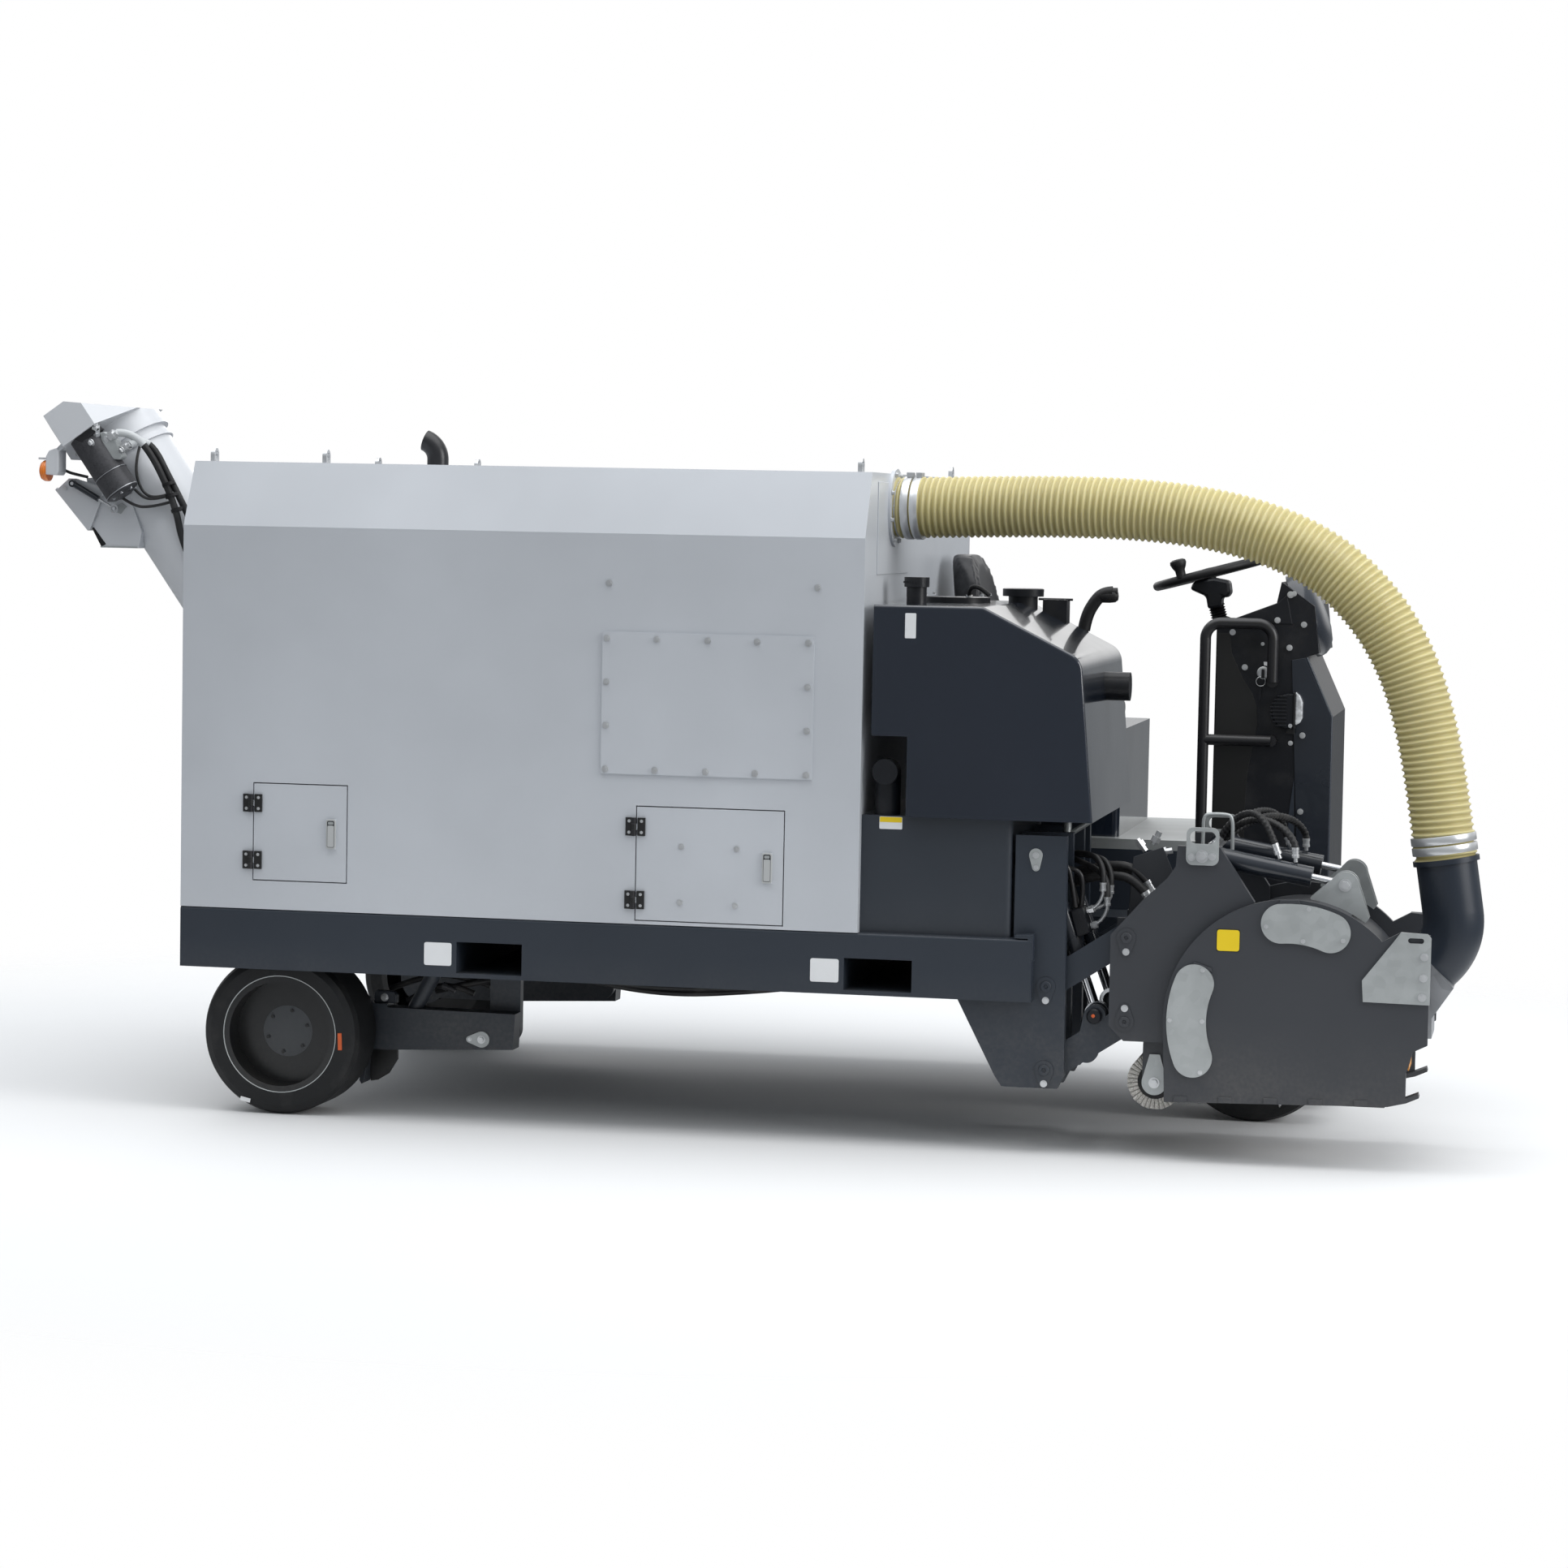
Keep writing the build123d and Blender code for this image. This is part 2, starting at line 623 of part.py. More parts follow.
link_tube = at(2566.0, 281.0)
link_tube_radius = 24.0
foot_pin_radius = 14.0
foot_lug_radius = 30.0
rod_eye_half = 15.0
with BuildPart() as lower_links:
    for a, b in both_sides(link_y[0], link_y[1], head_middle):
        bar(lower_column_pin, lower_head_pin, a, b, eye)
        bar(link_tube, cylinder_foot, a, b, foot_lug_radius)
    pin(link_tube, link_y[0], 2 * head_middle - link_y[0], link_tube_radius)
    for a, b in both_sides(link_y[1], cylinder_y + rod_eye_half, head_middle):
        pin(cylinder_foot, a, b, foot_pin_radius)
    for a, b in both_sides(link_y[0], link_y[1], head_middle):
        for centre in (lower_column_pin, lower_head_pin):
            pin(centre, a, b, pin_radius + running_gap, mode=Mode.SUBTRACT)
keep(lower_links, "lower_links")

with BuildPart() as upper_links:
    for a, b in both_sides(link_y[0], link_y[1], head_middle):
        bar(upper_column_pin, upper_head_pin, a, b, eye)
        for centre in (upper_column_pin, upper_head_pin):
            pin(centre, a, b, pin_radius + running_gap, mode=Mode.SUBTRACT)
keep(upper_links, "upper_links")

# Lift cylinders, barrels on the column's top pin and rods opened at the lower links' pins
barrel_length = 330.0
barrel_eye = 14.0
barrel_bore_from = 60.0
lift_rod_from = 110.0
eye_gap = 10.0
eye_wall = 10.0
with BuildPart() as lift_barrels:
    for y in (cylinder_y, 2 * head_middle - cylinder_y):
        pin(cylinder_top, y - cylinder_radius, y + cylinder_radius, pin_radius + barrel_eye)
        rod(cylinder_top, toward(cylinder_top, cylinder_foot, barrel_length), y, cylinder_radius)
        pin(cylinder_top, y - cylinder_radius, y + cylinder_radius, pin_radius + running_gap, mode=Mode.SUBTRACT)
        rod(toward(cylinder_top, cylinder_foot, barrel_bore_from),
            toward(cylinder_top, cylinder_foot, barrel_length + 1), y, cylinder_rod_radius + running_gap, mode=Mode.SUBTRACT)
keep(lift_barrels, "lift_barrels")

with BuildPart() as lift_rods:
    for y in (cylinder_y, 2 * head_middle - cylinder_y):
        rod(toward(cylinder_top, cylinder_foot, lift_rod_from), cylinder_foot, y, cylinder_rod_radius)
        pin(cylinder_foot, y - rod_eye_half, y + rod_eye_half, foot_pin_radius + eye_gap + eye_wall)
        pin(cylinder_foot, y - rod_eye_half, y + rod_eye_half, foot_pin_radius + eye_gap, mode=Mode.SUBTRACT)
keep(lift_rods, "lift_rods")

# Milling head: side plates, cross tube, lugs for the links, brackets for the rear roller
drum = at(drum_forward, drum_height)
head_disc_radius = 300.0
head_outline = [(2628.0, 360.0), (2628.0, 607.0), (2714.0, 705.0), (2777.0, 765.0), (2799.0, 798.0),
                (2803.0, 853.0), (2916.0, 853.0), (3012.0, 709.0), (3013.0, 670.0),
                (3013.0, 320.0), (2669.0, 320.0)]
head_cut_z = 250.0
head_tube = at(2760.0, 500.0)
head_tube_radius = 45.0
roller_centre = at(2753.0, 207.0)
roller_radius = 77.0
roller_pin_radius = 16.0
roller_bracket = 12.0
roller_hanger = at(2755.0, 400.0)
roller_hanger_radius = 34.0
roller_pin_length = 30.0
tilt_pin = at(2870.0, 828.0)
tilt_pin_radius = 12.0
tilt_stand_off = 36.0
tilt_pin_end = 20.0
tilt_y = head_plate_y[1] + tilt_stand_off
inner_lug = [(2630.0, 332.0), (2630.0, 640.0), (2700.0, 640.0), (2790.0, 540.0), (2790.0, 460.0), (2710.0, 332.0)]
drum_gap = 7.0
drum_bearing_radius = 60.0
with BuildPart() as head_frame:
    for a, b in both_sides(head_plate_y[0], head_plate_y[1], head_middle):
        plate([at(*point) for point in head_outline], a, b)
        pin(drum, a, b, head_disc_radius)
        block(drum[0] - cover_radius, drum[0] + cover_radius, a, b, 0, head_cut_z, mode=Mode.SUBTRACT)
    for a, b in both_sides(inner_plate_y[0], inner_plate_y[1], head_middle):
        plate([at(*point) for point in inner_lug], a, b)
    pin(head_tube, head_plate_y[1], 2 * head_middle - head_plate_y[1], head_tube_radius)
    for a, b in both_sides(head_plate_y[0], inner_plate_y[1], head_middle):
        for centre in (upper_head_pin, lower_head_pin):
            pin(centre, a, b, pin_radius)
    for a, b in both_sides(head_plate_y[0], tilt_y + tilt_pin_end, head_middle):
        pin(tilt_pin, a, b, tilt_pin_radius)
    for a, b in both_sides(head_plate_y[1], head_plate_y[1] + roller_bracket, head_middle):
        bar(roller_hanger, roller_centre, a, b, roller_hanger_radius)
    for a, b in both_sides(head_plate_y[1], head_plate_y[1] + roller_bracket + roller_pin_length, head_middle):
        pin(roller_centre, a, b, roller_pin_radius)
    for a, b in both_sides(head_plate_y[0], head_plate_y[1] + drum_gap, head_middle):
        pin(drum, a, b, drum_bearing_radius)
    for a, b in both_sides(skid_bearing_y + running_gap, head_plate_y[0], head_middle):
        pin(drum, a, b, skid_bearing_radius)
keep(head_frame, "head_frame")

# Galvanised plates on the head: slotted lugs at the tilt pins, end plates of the rear roller
lug_plate = 10.0
lug_forward = (2827.0, 2914.0)
lug_z = (804.0, 905.0)
lug_corner_radius = 18.0
lug_slot = ((2852.0, 878.0), (2889.0, 878.0))
lug_slot_radius = 17.0
end_plate = 5.0
end_plate_radius = 34.0
end_plate_outline = [(2739.0, 284.0), (2767.0, 284.0), (2787.0, 212.0), (2719.0, 212.0)]
with BuildPart() as head_lugs:
    for a, b in both_sides(head_plate_y[0] - lug_plate, head_plate_y[0], head_middle):
        with BuildSketch(side_plane(b)):
            with Locations(at((lug_forward[0] + lug_forward[1]) / 2, (lug_z[0] + lug_z[1]) / 2)):
                RectangleRounded(lug_forward[1] - lug_forward[0], lug_z[1] - lug_z[0], lug_corner_radius)
        extrude(amount=b - a)
        bar(at(*lug_slot[0]), at(*lug_slot[1]), a, b, lug_slot_radius, mode=Mode.SUBTRACT)
    for a, b in both_sides(head_plate_y[1] - end_plate, head_plate_y[1], head_middle):
        plate([at(*point) for point in end_plate_outline], a, b)
        pin(roller_centre, a, b, end_plate_radius)
keep(head_lugs, "head_lugs")

hood_shell = 8.0
hood_from = 18.0
hood_to = 176.0
with BuildPart() as drum_hood:
    with BuildSketch(side_plane(2 * head_middle - head_plate_y[1])):
        with Locations(drum):
            Circle(head_disc_radius)
            Circle(head_disc_radius - hood_shell, mode=Mode.SUBTRACT)
        with BuildLine():
            Polyline(drum, *[(drum[0] + 3 * head_disc_radius * cos(radians(turn)),
                              drum[1] + 3 * head_disc_radius * sin(radians(turn)))
                             for turn in (hood_from, (hood_from + hood_to) / 2, hood_to)], close=True)
        make_face(mode=Mode.INTERSECT)
    extrude(amount=2 * (head_middle - head_plate_y[1]))
keep(drum_hood, "drum_hood")

# Milling drum with its picks set in a helix
pick_rows = 16
picks_per_row = 3
pick_radius = 11.0
drum_length = 2 * (head_middle - head_plate_y[1] - drum_gap)
pick_step = 28.0
pick_turn = 24.0
pick_taper = 8.0
pick_seat = 6.0
with BuildPart() as milling_drum:
    pin(drum, head_plate_y[1] + drum_gap, 2 * head_middle - head_plate_y[1] - drum_gap, drum_shell_radius)
    for row in range(pick_rows):
        y = head_middle + (row - (pick_rows - 1) / 2) * pick_step
        for k in range(picks_per_row):
            turn = radians(360 / picks_per_row * k + pick_turn * row)
            with BuildSketch(Plane(origin=(drum[0], y, drum[1]), x_dir=(0, 1, 0),
                                   z_dir=(cos(turn), 0, sin(turn))).offset(drum_shell_radius - pick_seat)):
                Circle(pick_radius)
            extrude(amount=drum_tip_radius - drum_shell_radius + pick_seat, taper=pick_taper)
keep(milling_drum, "milling_drum")

roller_y = head_plate_y[1] + roller_bracket + 5
with BuildPart() as rear_roller:
    pin(roller_centre, roller_y, 2 * head_middle - roller_y, roller_radius)
    for a, b in both_sides(roller_y - 1, head_plate_y[1] + roller_bracket + roller_pin_length + 2, head_middle):
        pin(roller_centre, a, b, roller_pin_radius + running_gap, mode=Mode.SUBTRACT)
keep(rear_roller, "rear_roller")

# Bare chute on the drum hood and the suction elbow between it and the hose
elbow_radius = 82.0
elbow_collar_radius = 90.0
elbow_collar = 14.0
elbow_bend = 150.0
elbow_drop = 229.0
elbow_end = (3481.0, 539.0)
chute_outline = [(3539.0, 481.0), (3483.0, 397.0), (3484.0, 342.0), (3398.0, 342.0), (3340.0, 500.0),
                 (3372.0, 575.0), (3423.0, 597.0)]
chute_half_width = 100.0
with BuildPart() as suction_mouth:
    plate([at(*point) for point in chute_outline], head_middle - chute_half_width, head_middle + chute_half_width)
    pin(drum, near, far, head_disc_radius, mode=Mode.SUBTRACT)
keep(suction_mouth, "suction_mouth")

with BuildPart() as suction_elbow:
    with BuildSketch(Plane(origin=hose_line.line @ 1, z_dir=hose_line.line % 1)):
        Circle(elbow_collar_radius)
    extrude(amount=elbow_collar)
    with BuildLine() as elbow_line:
        FilletPolyline(hose_line.line @ 1, hose_line.line @ 1 + (hose_line.line % 1) * elbow_drop,
                       hose_spot(*elbow_end), radius=elbow_bend)
    with BuildSketch(Plane(origin=elbow_line.line @ 0, z_dir=elbow_line.line % 0)):
        Circle(elbow_radius)
    sweep()
    plate([at(*point) for point in chute_outline], near, far, mode=Mode.SUBTRACT)
keep(suction_elbow, "suction_elbow")

# Side skids that tilt about the drum's axis, joined by a bridge over the drum hood
skid = [(2778.0, 387.0), (2786.0, 176.0), (3381.0, 191.0), (3427.0, 203.0), (3427.0, 320.0), (3481.0, 347.0),
        (3481.0, 640.0), (3404.0, 646.0), (3320.0, 600.0), (3113.0, 387.0)]
sole = [(2786.0, 176.0), (2786.0, 164.0), (3381.0, 179.0), (3430.0, 191.0), (3463.0, 206.0), (3460.0, 217.0),
        (3427.0, 203.0), (3381.0, 191.0)]
sole_gap = 5.0
sole_y = (skid_y[0], head_plate_y[1] - end_plate - sole_gap)
bridge_from = 62.0
bridge_to = 78.0
bridge_thickness = 20.0
with BuildPart() as skid_plates:
    for a, b in both_sides(skid_y[0], skid_y[1], head_middle):
        pin(drum, a, b, cover_radius)
        plate([at(*point) for point in skid], a, b)
        block(drum[0] - cover_radius, drum[0] + 2 * cover_radius, a, b, 0, sole[0][1], mode=Mode.SUBTRACT)
    for a, b in both_sides(*sole_y, head_middle):
        plate([at(*point) for point in sole], a, b)
    with BuildSketch(side_plane(2 * head_middle - skid_y[1])):
        with Locations(drum):
            Circle(cover_radius)
            Circle(cover_radius - bridge_thickness, mode=Mode.SUBTRACT)
        with BuildLine():
            Polyline(drum, *[toward(drum, (drum[0] + cos(radians(turn)), drum[1] + sin(radians(turn))), 2 * cover_radius)
                             for turn in (bridge_from, bridge_to)], close=True)
        make_face(mode=Mode.INTERSECT)
    extrude(amount=2 * (head_middle - skid_y[1]))
    for a, b in both_sides(skid_bearing_y, skid_y[1], head_middle):
        pin(drum, a, b, skid_bearing_radius + running_gap, mode=Mode.SUBTRACT)
keep(skid_plates, "skid_plates")

# Galvanised plates on the skids: slot covers, front lugs, and the tilt cylinders' clevises on the bridge
cover_band = 272.0
cover_half_width = 53.0
cover_arcs = [
    # middle angle, half angle
    (180.0, 21.5),
    (81.3, 14.2),
]
front_lug = [(3309.0, 458.0), (3305.0, 515.0), (3387.0, 623.0), (3404.0, 647.0), (3474.0, 645.0), (3484.0, 634.0),
             (3484.0, 456.0)]
front_slot = ((3430.0, 626.0), (3458.0, 626.0))
front_slot_radius = 7.0
clevis_pin = at(3249.0, 760.0)
clevis_pin_radius = 10.0
clevis_plate = 10.0
clevis_gap = 16.0
clevis_top_radius = 36.0
clevis = [(3158.0, 700.0), (3158.0, 725.0), (3230.0, 790.0), (3280.0, 778.0), (3315.0, 673.0), (3290.0, 640.0),
          (3200.0, 650.0)]
with BuildPart() as slot_covers:
    for a, b in both_sides(inboard(0), inboard(cover_plate), head_middle):
        for middle, half in cover_arcs:
            with BuildSketch(side_plane(b)):
                with BuildLine():
                    arc = CenterArc(drum, cover_band, middle - half, 2 * half)
                SlotArc(arc, 2 * cover_half_width)
            extrude(amount=b - a)
        plate([at(*point) for point in front_lug], a, b)
        bar(at(*front_slot[0]), at(*front_slot[1]), a, b, front_slot_radius, mode=Mode.SUBTRACT)
    for y in (tilt_y, 2 * head_middle - tilt_y):
        for a, b in both_sides(y - clevis_gap - clevis_plate, y - clevis_gap, y):
            plate([at(*point) for point in clevis], a, b)
            pin(clevis_pin, a, b, clevis_top_radius)
            pin(drum, a, b, cover_radius, mode=Mode.SUBTRACT)
        pin(clevis_pin, y - clevis_gap - clevis_plate, y + clevis_gap + clevis_plate, clevis_pin_radius)
keep(slot_covers, "slot_covers")

# Tilt cylinders from the head to the skids' clevises
tilt_barrel_radius = 28.0
tilt_rod_radius = 10.0
tilt_barrel_length = 293.0
tilt_rod_from = 150.0
tilt_bore_from = 80.0
tilt_eye = 12.0
tilt_barrel_from = 20.0
tilt_eye_half = 14.0
tilt_eye_gap = 4.0
with BuildPart() as tilt_barrels:
    for y in (tilt_y, 2 * head_middle - tilt_y):
        pin(tilt_pin, y - tilt_eye_half, y + tilt_eye_half, tilt_pin_radius + tilt_eye)
        rod(toward(tilt_pin, clevis_pin, tilt_barrel_from), toward(tilt_pin, clevis_pin, tilt_barrel_length), y,
            tilt_barrel_radius)
        pin(tilt_pin, y - clevis_gap, y + clevis_gap, tilt_pin_radius + running_gap, mode=Mode.SUBTRACT)
        rod(toward(tilt_pin, clevis_pin, tilt_bore_from), toward(tilt_pin, clevis_pin, tilt_barrel_length + 1), y,
            tilt_rod_radius + running_gap, mode=Mode.SUBTRACT)
keep(tilt_barrels, "tilt_barrels")

with BuildPart() as tilt_rods:
    for y in (tilt_y, 2 * head_middle - tilt_y):
        rod(toward(tilt_pin, clevis_pin, tilt_rod_from), clevis_pin, y, tilt_rod_radius)
        pin(clevis_pin, y - tilt_eye_half, y + tilt_eye_half, clevis_pin_radius + tilt_eye)
        pin(clevis_pin, y - tilt_eye_half, y + tilt_eye_half, clevis_pin_radius + tilt_eye_gap, mode=Mode.SUBTRACT)
keep(tilt_rods, "tilt_rods")

# Discharge auger at the rear: tube on the rear wall, drive case, motor, spout and its flap
auger_inboard = 910.0
auger_radius = 127.0
auger_tilt = 55.0
auger_top = (-521.0, 1900.0)
auger_flange_radius = 140.0
auger_flange = 16.0
auger_root = 250.0
case_neck_radius = 138.0
case_neck = 45.0
case_top = 155.0
case_outline = [(-95.0, -250.0), (26.0, -250.0), (150.0, -50.0), (150.0, 110.0), (50.0, 150.0), (-100.0, 150.0),
                (-160.0, 50.0), (-160.0, -50.0)]
case_slant = [(-80.0, 205.0), (200.0, -20.0), (200.0, 205.0)]
auger_up = (-cos(radians(auger_tilt)), 0, sin(radians(auger_tilt)))
auger_along = (sin(radians(auger_tilt)), 0, cos(radians(auger_tilt)))
auger_origin = (fore(auger_top[0]), inboard(auger_inboard), auger_top[1])
auger_plane = Plane(origin=auger_origin, x_dir=auger_along, z_dir=auger_up)
tube_length = (auger_root - auger_top[0]) / cos(radians(auger_tilt))
with BuildPart() as auger_tube:
    with BuildSketch(auger_plane):
        Circle(auger_radius)
    extrude(amount=-tube_length)
    with BuildSketch(auger_plane):
        Circle(auger_flange_radius)
    extrude(amount=-auger_flange)
    block(fore(0), fore(body_length), near, far, 0, body_top_z, mode=Mode.SUBTRACT)
keep(auger_tube, "auger_tube")

# The case over the tube's top stands on a round neck and carries the lamp's bent plate
beacon_forward = (-714.0, -686.0)
beacon_inboard = (680.0, 740.0)
beacon_z = (1777.0, 1843.0)
beacon_corner = 10.0
beacon_plate = 6.0
beacon_plate_inset = 10.0
with BuildPart() as drive_case:
    with BuildSketch(auger_plane):
        Circle(case_neck_radius)
    extrude(amount=case_neck)
    with BuildSketch(auger_plane.offset(case_neck)):
        with BuildLine():
            Polyline(*case_outline, close=True)
        make_face()
    extrude(amount=case_top - case_neck)
    with BuildSketch(Plane(origin=auger_origin, x_dir=auger_along, z_dir=(0, -1, 0))):
        with BuildLine():
            Polyline(*case_slant, close=True)
        make_face()
    extrude(amount=2 * case_top, both=True, mode=Mode.SUBTRACT)
    plate([at(*point) for point in ((-628.0, 1884.0), (-636.0, 1897.0), (beacon_forward[1], beacon_z[1] + beacon_plate),
                                    (beacon_forward[0], beacon_z[1] + beacon_plate), (beacon_forward[0], beacon_z[1]),
                                    (beacon_forward[1] + beacon_plate, beacon_z[1]))],
          inboard(beacon_inboard[0] + beacon_plate_inset), inboard(beacon_inboard[1] - beacon_plate_inset))
keep(drive_case, "drive_case")

with BuildPart() as beacon:
    block(fore(beacon_forward[0]), fore(beacon_forward[1]), inboard(beacon_inboard[0]), inboard(beacon_inboard[1]),
          *beacon_z)
    fillet(beacon.edges().filter_by(Axis.Z), beacon_corner)
keep(beacon, "beacon")

motor_across = (-35.0, -190.0)
motor_radius = 52.0
motor_end = 160.0
with BuildPart() as auger_motor:
    with BuildSketch(auger_plane.offset(case_neck)):
        with Locations(motor_across):
            Circle(motor_radius)
    extrude(amount=-case_neck - motor_end)
keep(auger_motor, "auger_motor")

spout_half_width = 120.0
spout = [(-600.0, 1790.0), (-579.0, 1640.0), (-551.0, 1583.0), (-433.0, 1582.0), (-423.0, 1630.0), (-485.0, 1800.0)]
flap_pivot = at(-551.0, 1750.0)
strut_eye = at(-635.0, 1773.0)
strut_foot = at(-501.0, 1700.0)
strut_pin_radius = 5.0
strut_reach = 12.0
strut_pin_end = 8.0
ear_gap = 6.0
ear = 6.0
spout_y = (inboard(auger_inboard) - spout_half_width, inboard(auger_inboard) + spout_half_width)
ear_y = spout_y[0] - ear_gap - ear
strut_y = ear_y - strut_reach
with BuildPart() as discharge_spout:
    plate([at(*point) for point in spout], spout_y[0], spout_y[1])
    with BuildSketch(auger_plane.offset(-auger_flange)):
        Circle(4 * auger_radius)
    extrude(amount=4 * auger_radius, mode=Mode.SUBTRACT)
    with BuildSketch(auger_plane):
        Circle(auger_radius)
    extrude(amount=-tube_length, mode=Mode.SUBTRACT)
    pin(strut_foot, strut_y - strut_pin_end, spout_y[0], strut_pin_radius)
    for a, b in both_sides(ear_y, spout_y[0], inboard(auger_inboard)):
        pin(flap_pivot, a, b, strut_pin_radius)
keep(discharge_spout, "discharge_spout")

flap_ear = [(-690.0, 1753.0), (-683.0, 1760.0), (-652.0, 1788.0), (-628.0, 1788.0), (-551.0, 1766.0),
            (-536.0, 1750.0), (-545.0, 1735.0), (-585.0, 1632.0)]
flap_plate = [(-690.0, 1753.0), (-683.0, 1760.0), (-579.0, 1642.0), (-585.0, 1632.0)]
flap_stand_off = 6.0
with BuildPart() as spout_flap:
    for a, b in both_sides(ear_y, spout_y[0] - ear_gap, inboard(auger_inboard)):
        plate([at(*point) for point in flap_ear], a, b)
        pin(flap_pivot, a, b, strut_pin_radius + running_gap, mode=Mode.SUBTRACT)
    plate([at(x - flap_stand_off, z) for x, z in flap_plate], ear_y, 2 * inboard(auger_inboard) - ear_y)
    pin(strut_eye, strut_y - strut_pin_end, ear_y, strut_pin_radius)
keep(spout_flap, "spout_flap")

strut_radius = 9.0
strut_rod_radius = 4.0
strut_barrel_length = 95.0
strut_bore_from = 30.0
strut_rod_from = 50.0
strut_half = 5.0
with BuildPart() as strut_barrel:
    pin(strut_eye, strut_y - strut_half, strut_y + strut_half, strut_pin_radius + 6)
    rod(toward(strut_eye, strut_foot, 8), toward(strut_eye, strut_foot, strut_barrel_length), strut_y, strut_radius)
    pin(strut_eye, strut_y - strut_reach, strut_y + strut_reach, strut_pin_radius + running_gap, mode=Mode.SUBTRACT)
    rod(toward(strut_eye, strut_foot, strut_bore_from), toward(strut_eye, strut_foot, strut_barrel_length + 1), strut_y,
        strut_rod_radius + running_gap, mode=Mode.SUBTRACT)
keep(strut_barrel, "strut_barrel")

with BuildPart() as strut_rod:
    rod(toward(strut_eye, strut_foot, strut_rod_from), strut_foot, strut_y, strut_rod_radius)
    pin(strut_foot, strut_y - strut_half, strut_y + strut_half, strut_pin_radius + 8)
    pin(strut_foot, strut_y - strut_half, strut_y + strut_half, strut_pin_radius + 3, mode=Mode.SUBTRACT)
keep(strut_rod, "strut_rod")

# Rear swing arms under the frame, with their pivots, legs and hub motors
arm_inboard = (275.0, 340.0)
arm_pivot = at(858.0, 235.0)
arm_outline = [(276.0, 170.0), (276.0, 300.0), (525.0, 300.0), (525.0, 290.0), (905.0, 286.0), (900.0, 184.0),
               (525.0, 168.0)]
rear_axle = at(rear_axle_forward, tyre_radius)
rear_tyre_inboard = 60.0
rim_dish = 75.0
rim_disc = 14.0
axle_radius = 30.0
hub_radius = 78.0
hanger_thickness = 30.0
hanger_half_width = 45.0
leg_foot = at(600.0, 285.0)
leg_head = at(690.0, cross_bottom_z)
leg_radius = 22.0
arm_middle = (inboard(arm_inboard[0]) + inboard(arm_inboard[1])) / 2
with BuildPart() as rear_arms:
    for a, b in both_sides(inboard(arm_inboard[0]), inboard(arm_inboard[1]), 0):
        plate([at(*point) for point in arm_outline], a, b)
        pin(rear_axle, a, b, hub_radius)
    for a, b in both_sides(inboard(arm_inboard[1]), inboard(arm_inboard[1]) + hanger_thickness, 0):
        pin(arm_pivot, a, b, hanger_half_width)
        block(arm_pivot[0] - hanger_half_width, arm_pivot[0] + hanger_half_width, a, b,
              arm_pivot[1], pocket_bottom_z)
    for a, b in both_sides(inboard(rear_tyre_inboard + rim_dish), inboard(arm_inboard[0]), 0):
        pin(rear_axle, a, b, axle_radius)
    for y in (arm_middle, -arm_middle):
        rod(leg_foot, leg_head, y, leg_radius)
    block(fore(0), fore(head_bay_forward), near, far, pocket_bottom_z, frame_top_z, mode=Mode.SUBTRACT)
keep(rear_arms, "rear_arms")

# Wheels: solid tyres with rounded shoulders on dished rims
tyre_shoulder = 25.0
rim_ring = 18.0


def tyre_body(centre, y0):
    """Solid tyre across the machine from y0, with rounded shoulders and a round seat."""
    with BuildSketch(Plane(origin=(centre[0], y0, centre[1]), x_dir=(0, 1, 0), z_dir=(1, 0, 0))) as section:
        with BuildLine():
            Polyline((0, rim_radius), (0, tyre_radius - tyre_shoulder), (tyre_shoulder * 0.3, tyre_radius - 8),
                     (tyre_shoulder, tyre_radius), (tyre_width - tyre_shoulder, tyre_radius),
                     (tyre_width - tyre_shoulder * 0.3, tyre_radius - 8), (tyre_width, tyre_radius - tyre_shoulder),
                     (tyre_width, rim_radius), close=True)
        make_face()
    return revolve(section.sketch, axis=Axis((centre[0], 0, centre[1]), (0, 1, 0)))


def rim_body(centre, y0, dish_from):
    """Rim ring across the machine from y0 with its hub disc this far in."""
    pin(centre, y0, y0 + tyre_width, rim_radius)
    pin(centre, y0, y0 + dish_from, rim_radius - rim_ring, mode=Mode.SUBTRACT)
    pin(centre, y0 + dish_from + rim_disc, y0 + tyre_width, rim_radius - rim_ring, mode=Mode.SUBTRACT)


hub_end = inboard(arm_inboard[0])
wheel_rows = {
    # name: outer side's Y, hub disc's distance from it
    "near": (inboard(rear_tyre_inboard), rim_dish),
    "far": (-inboard(rear_tyre_inboard) - tyre_width, tyre_width - rim_dish - rim_disc),
}
for side, (y0, dish) in wheel_rows.items():
    with BuildPart() as tyre:
        tyre_body(rear_axle, y0)
    keep(tyre, "rear_tyre_" + side)
    with BuildPart() as rim:
        rim_body(rear_axle, y0, dish)
        inner = y0 + dish + rim_disc if side == "near" else y0 + dish
        outer = hub_end if side == "near" else -hub_end
        step = 5 if side == "near" else -5
        pin(rear_axle, min(inner, outer - step), max(inner, outer - step), hub_radius)
        pin(rear_axle, near, far, axle_radius + running_gap, mode=Mode.SUBTRACT)
    keep(rim, "rear_rim_" + side)

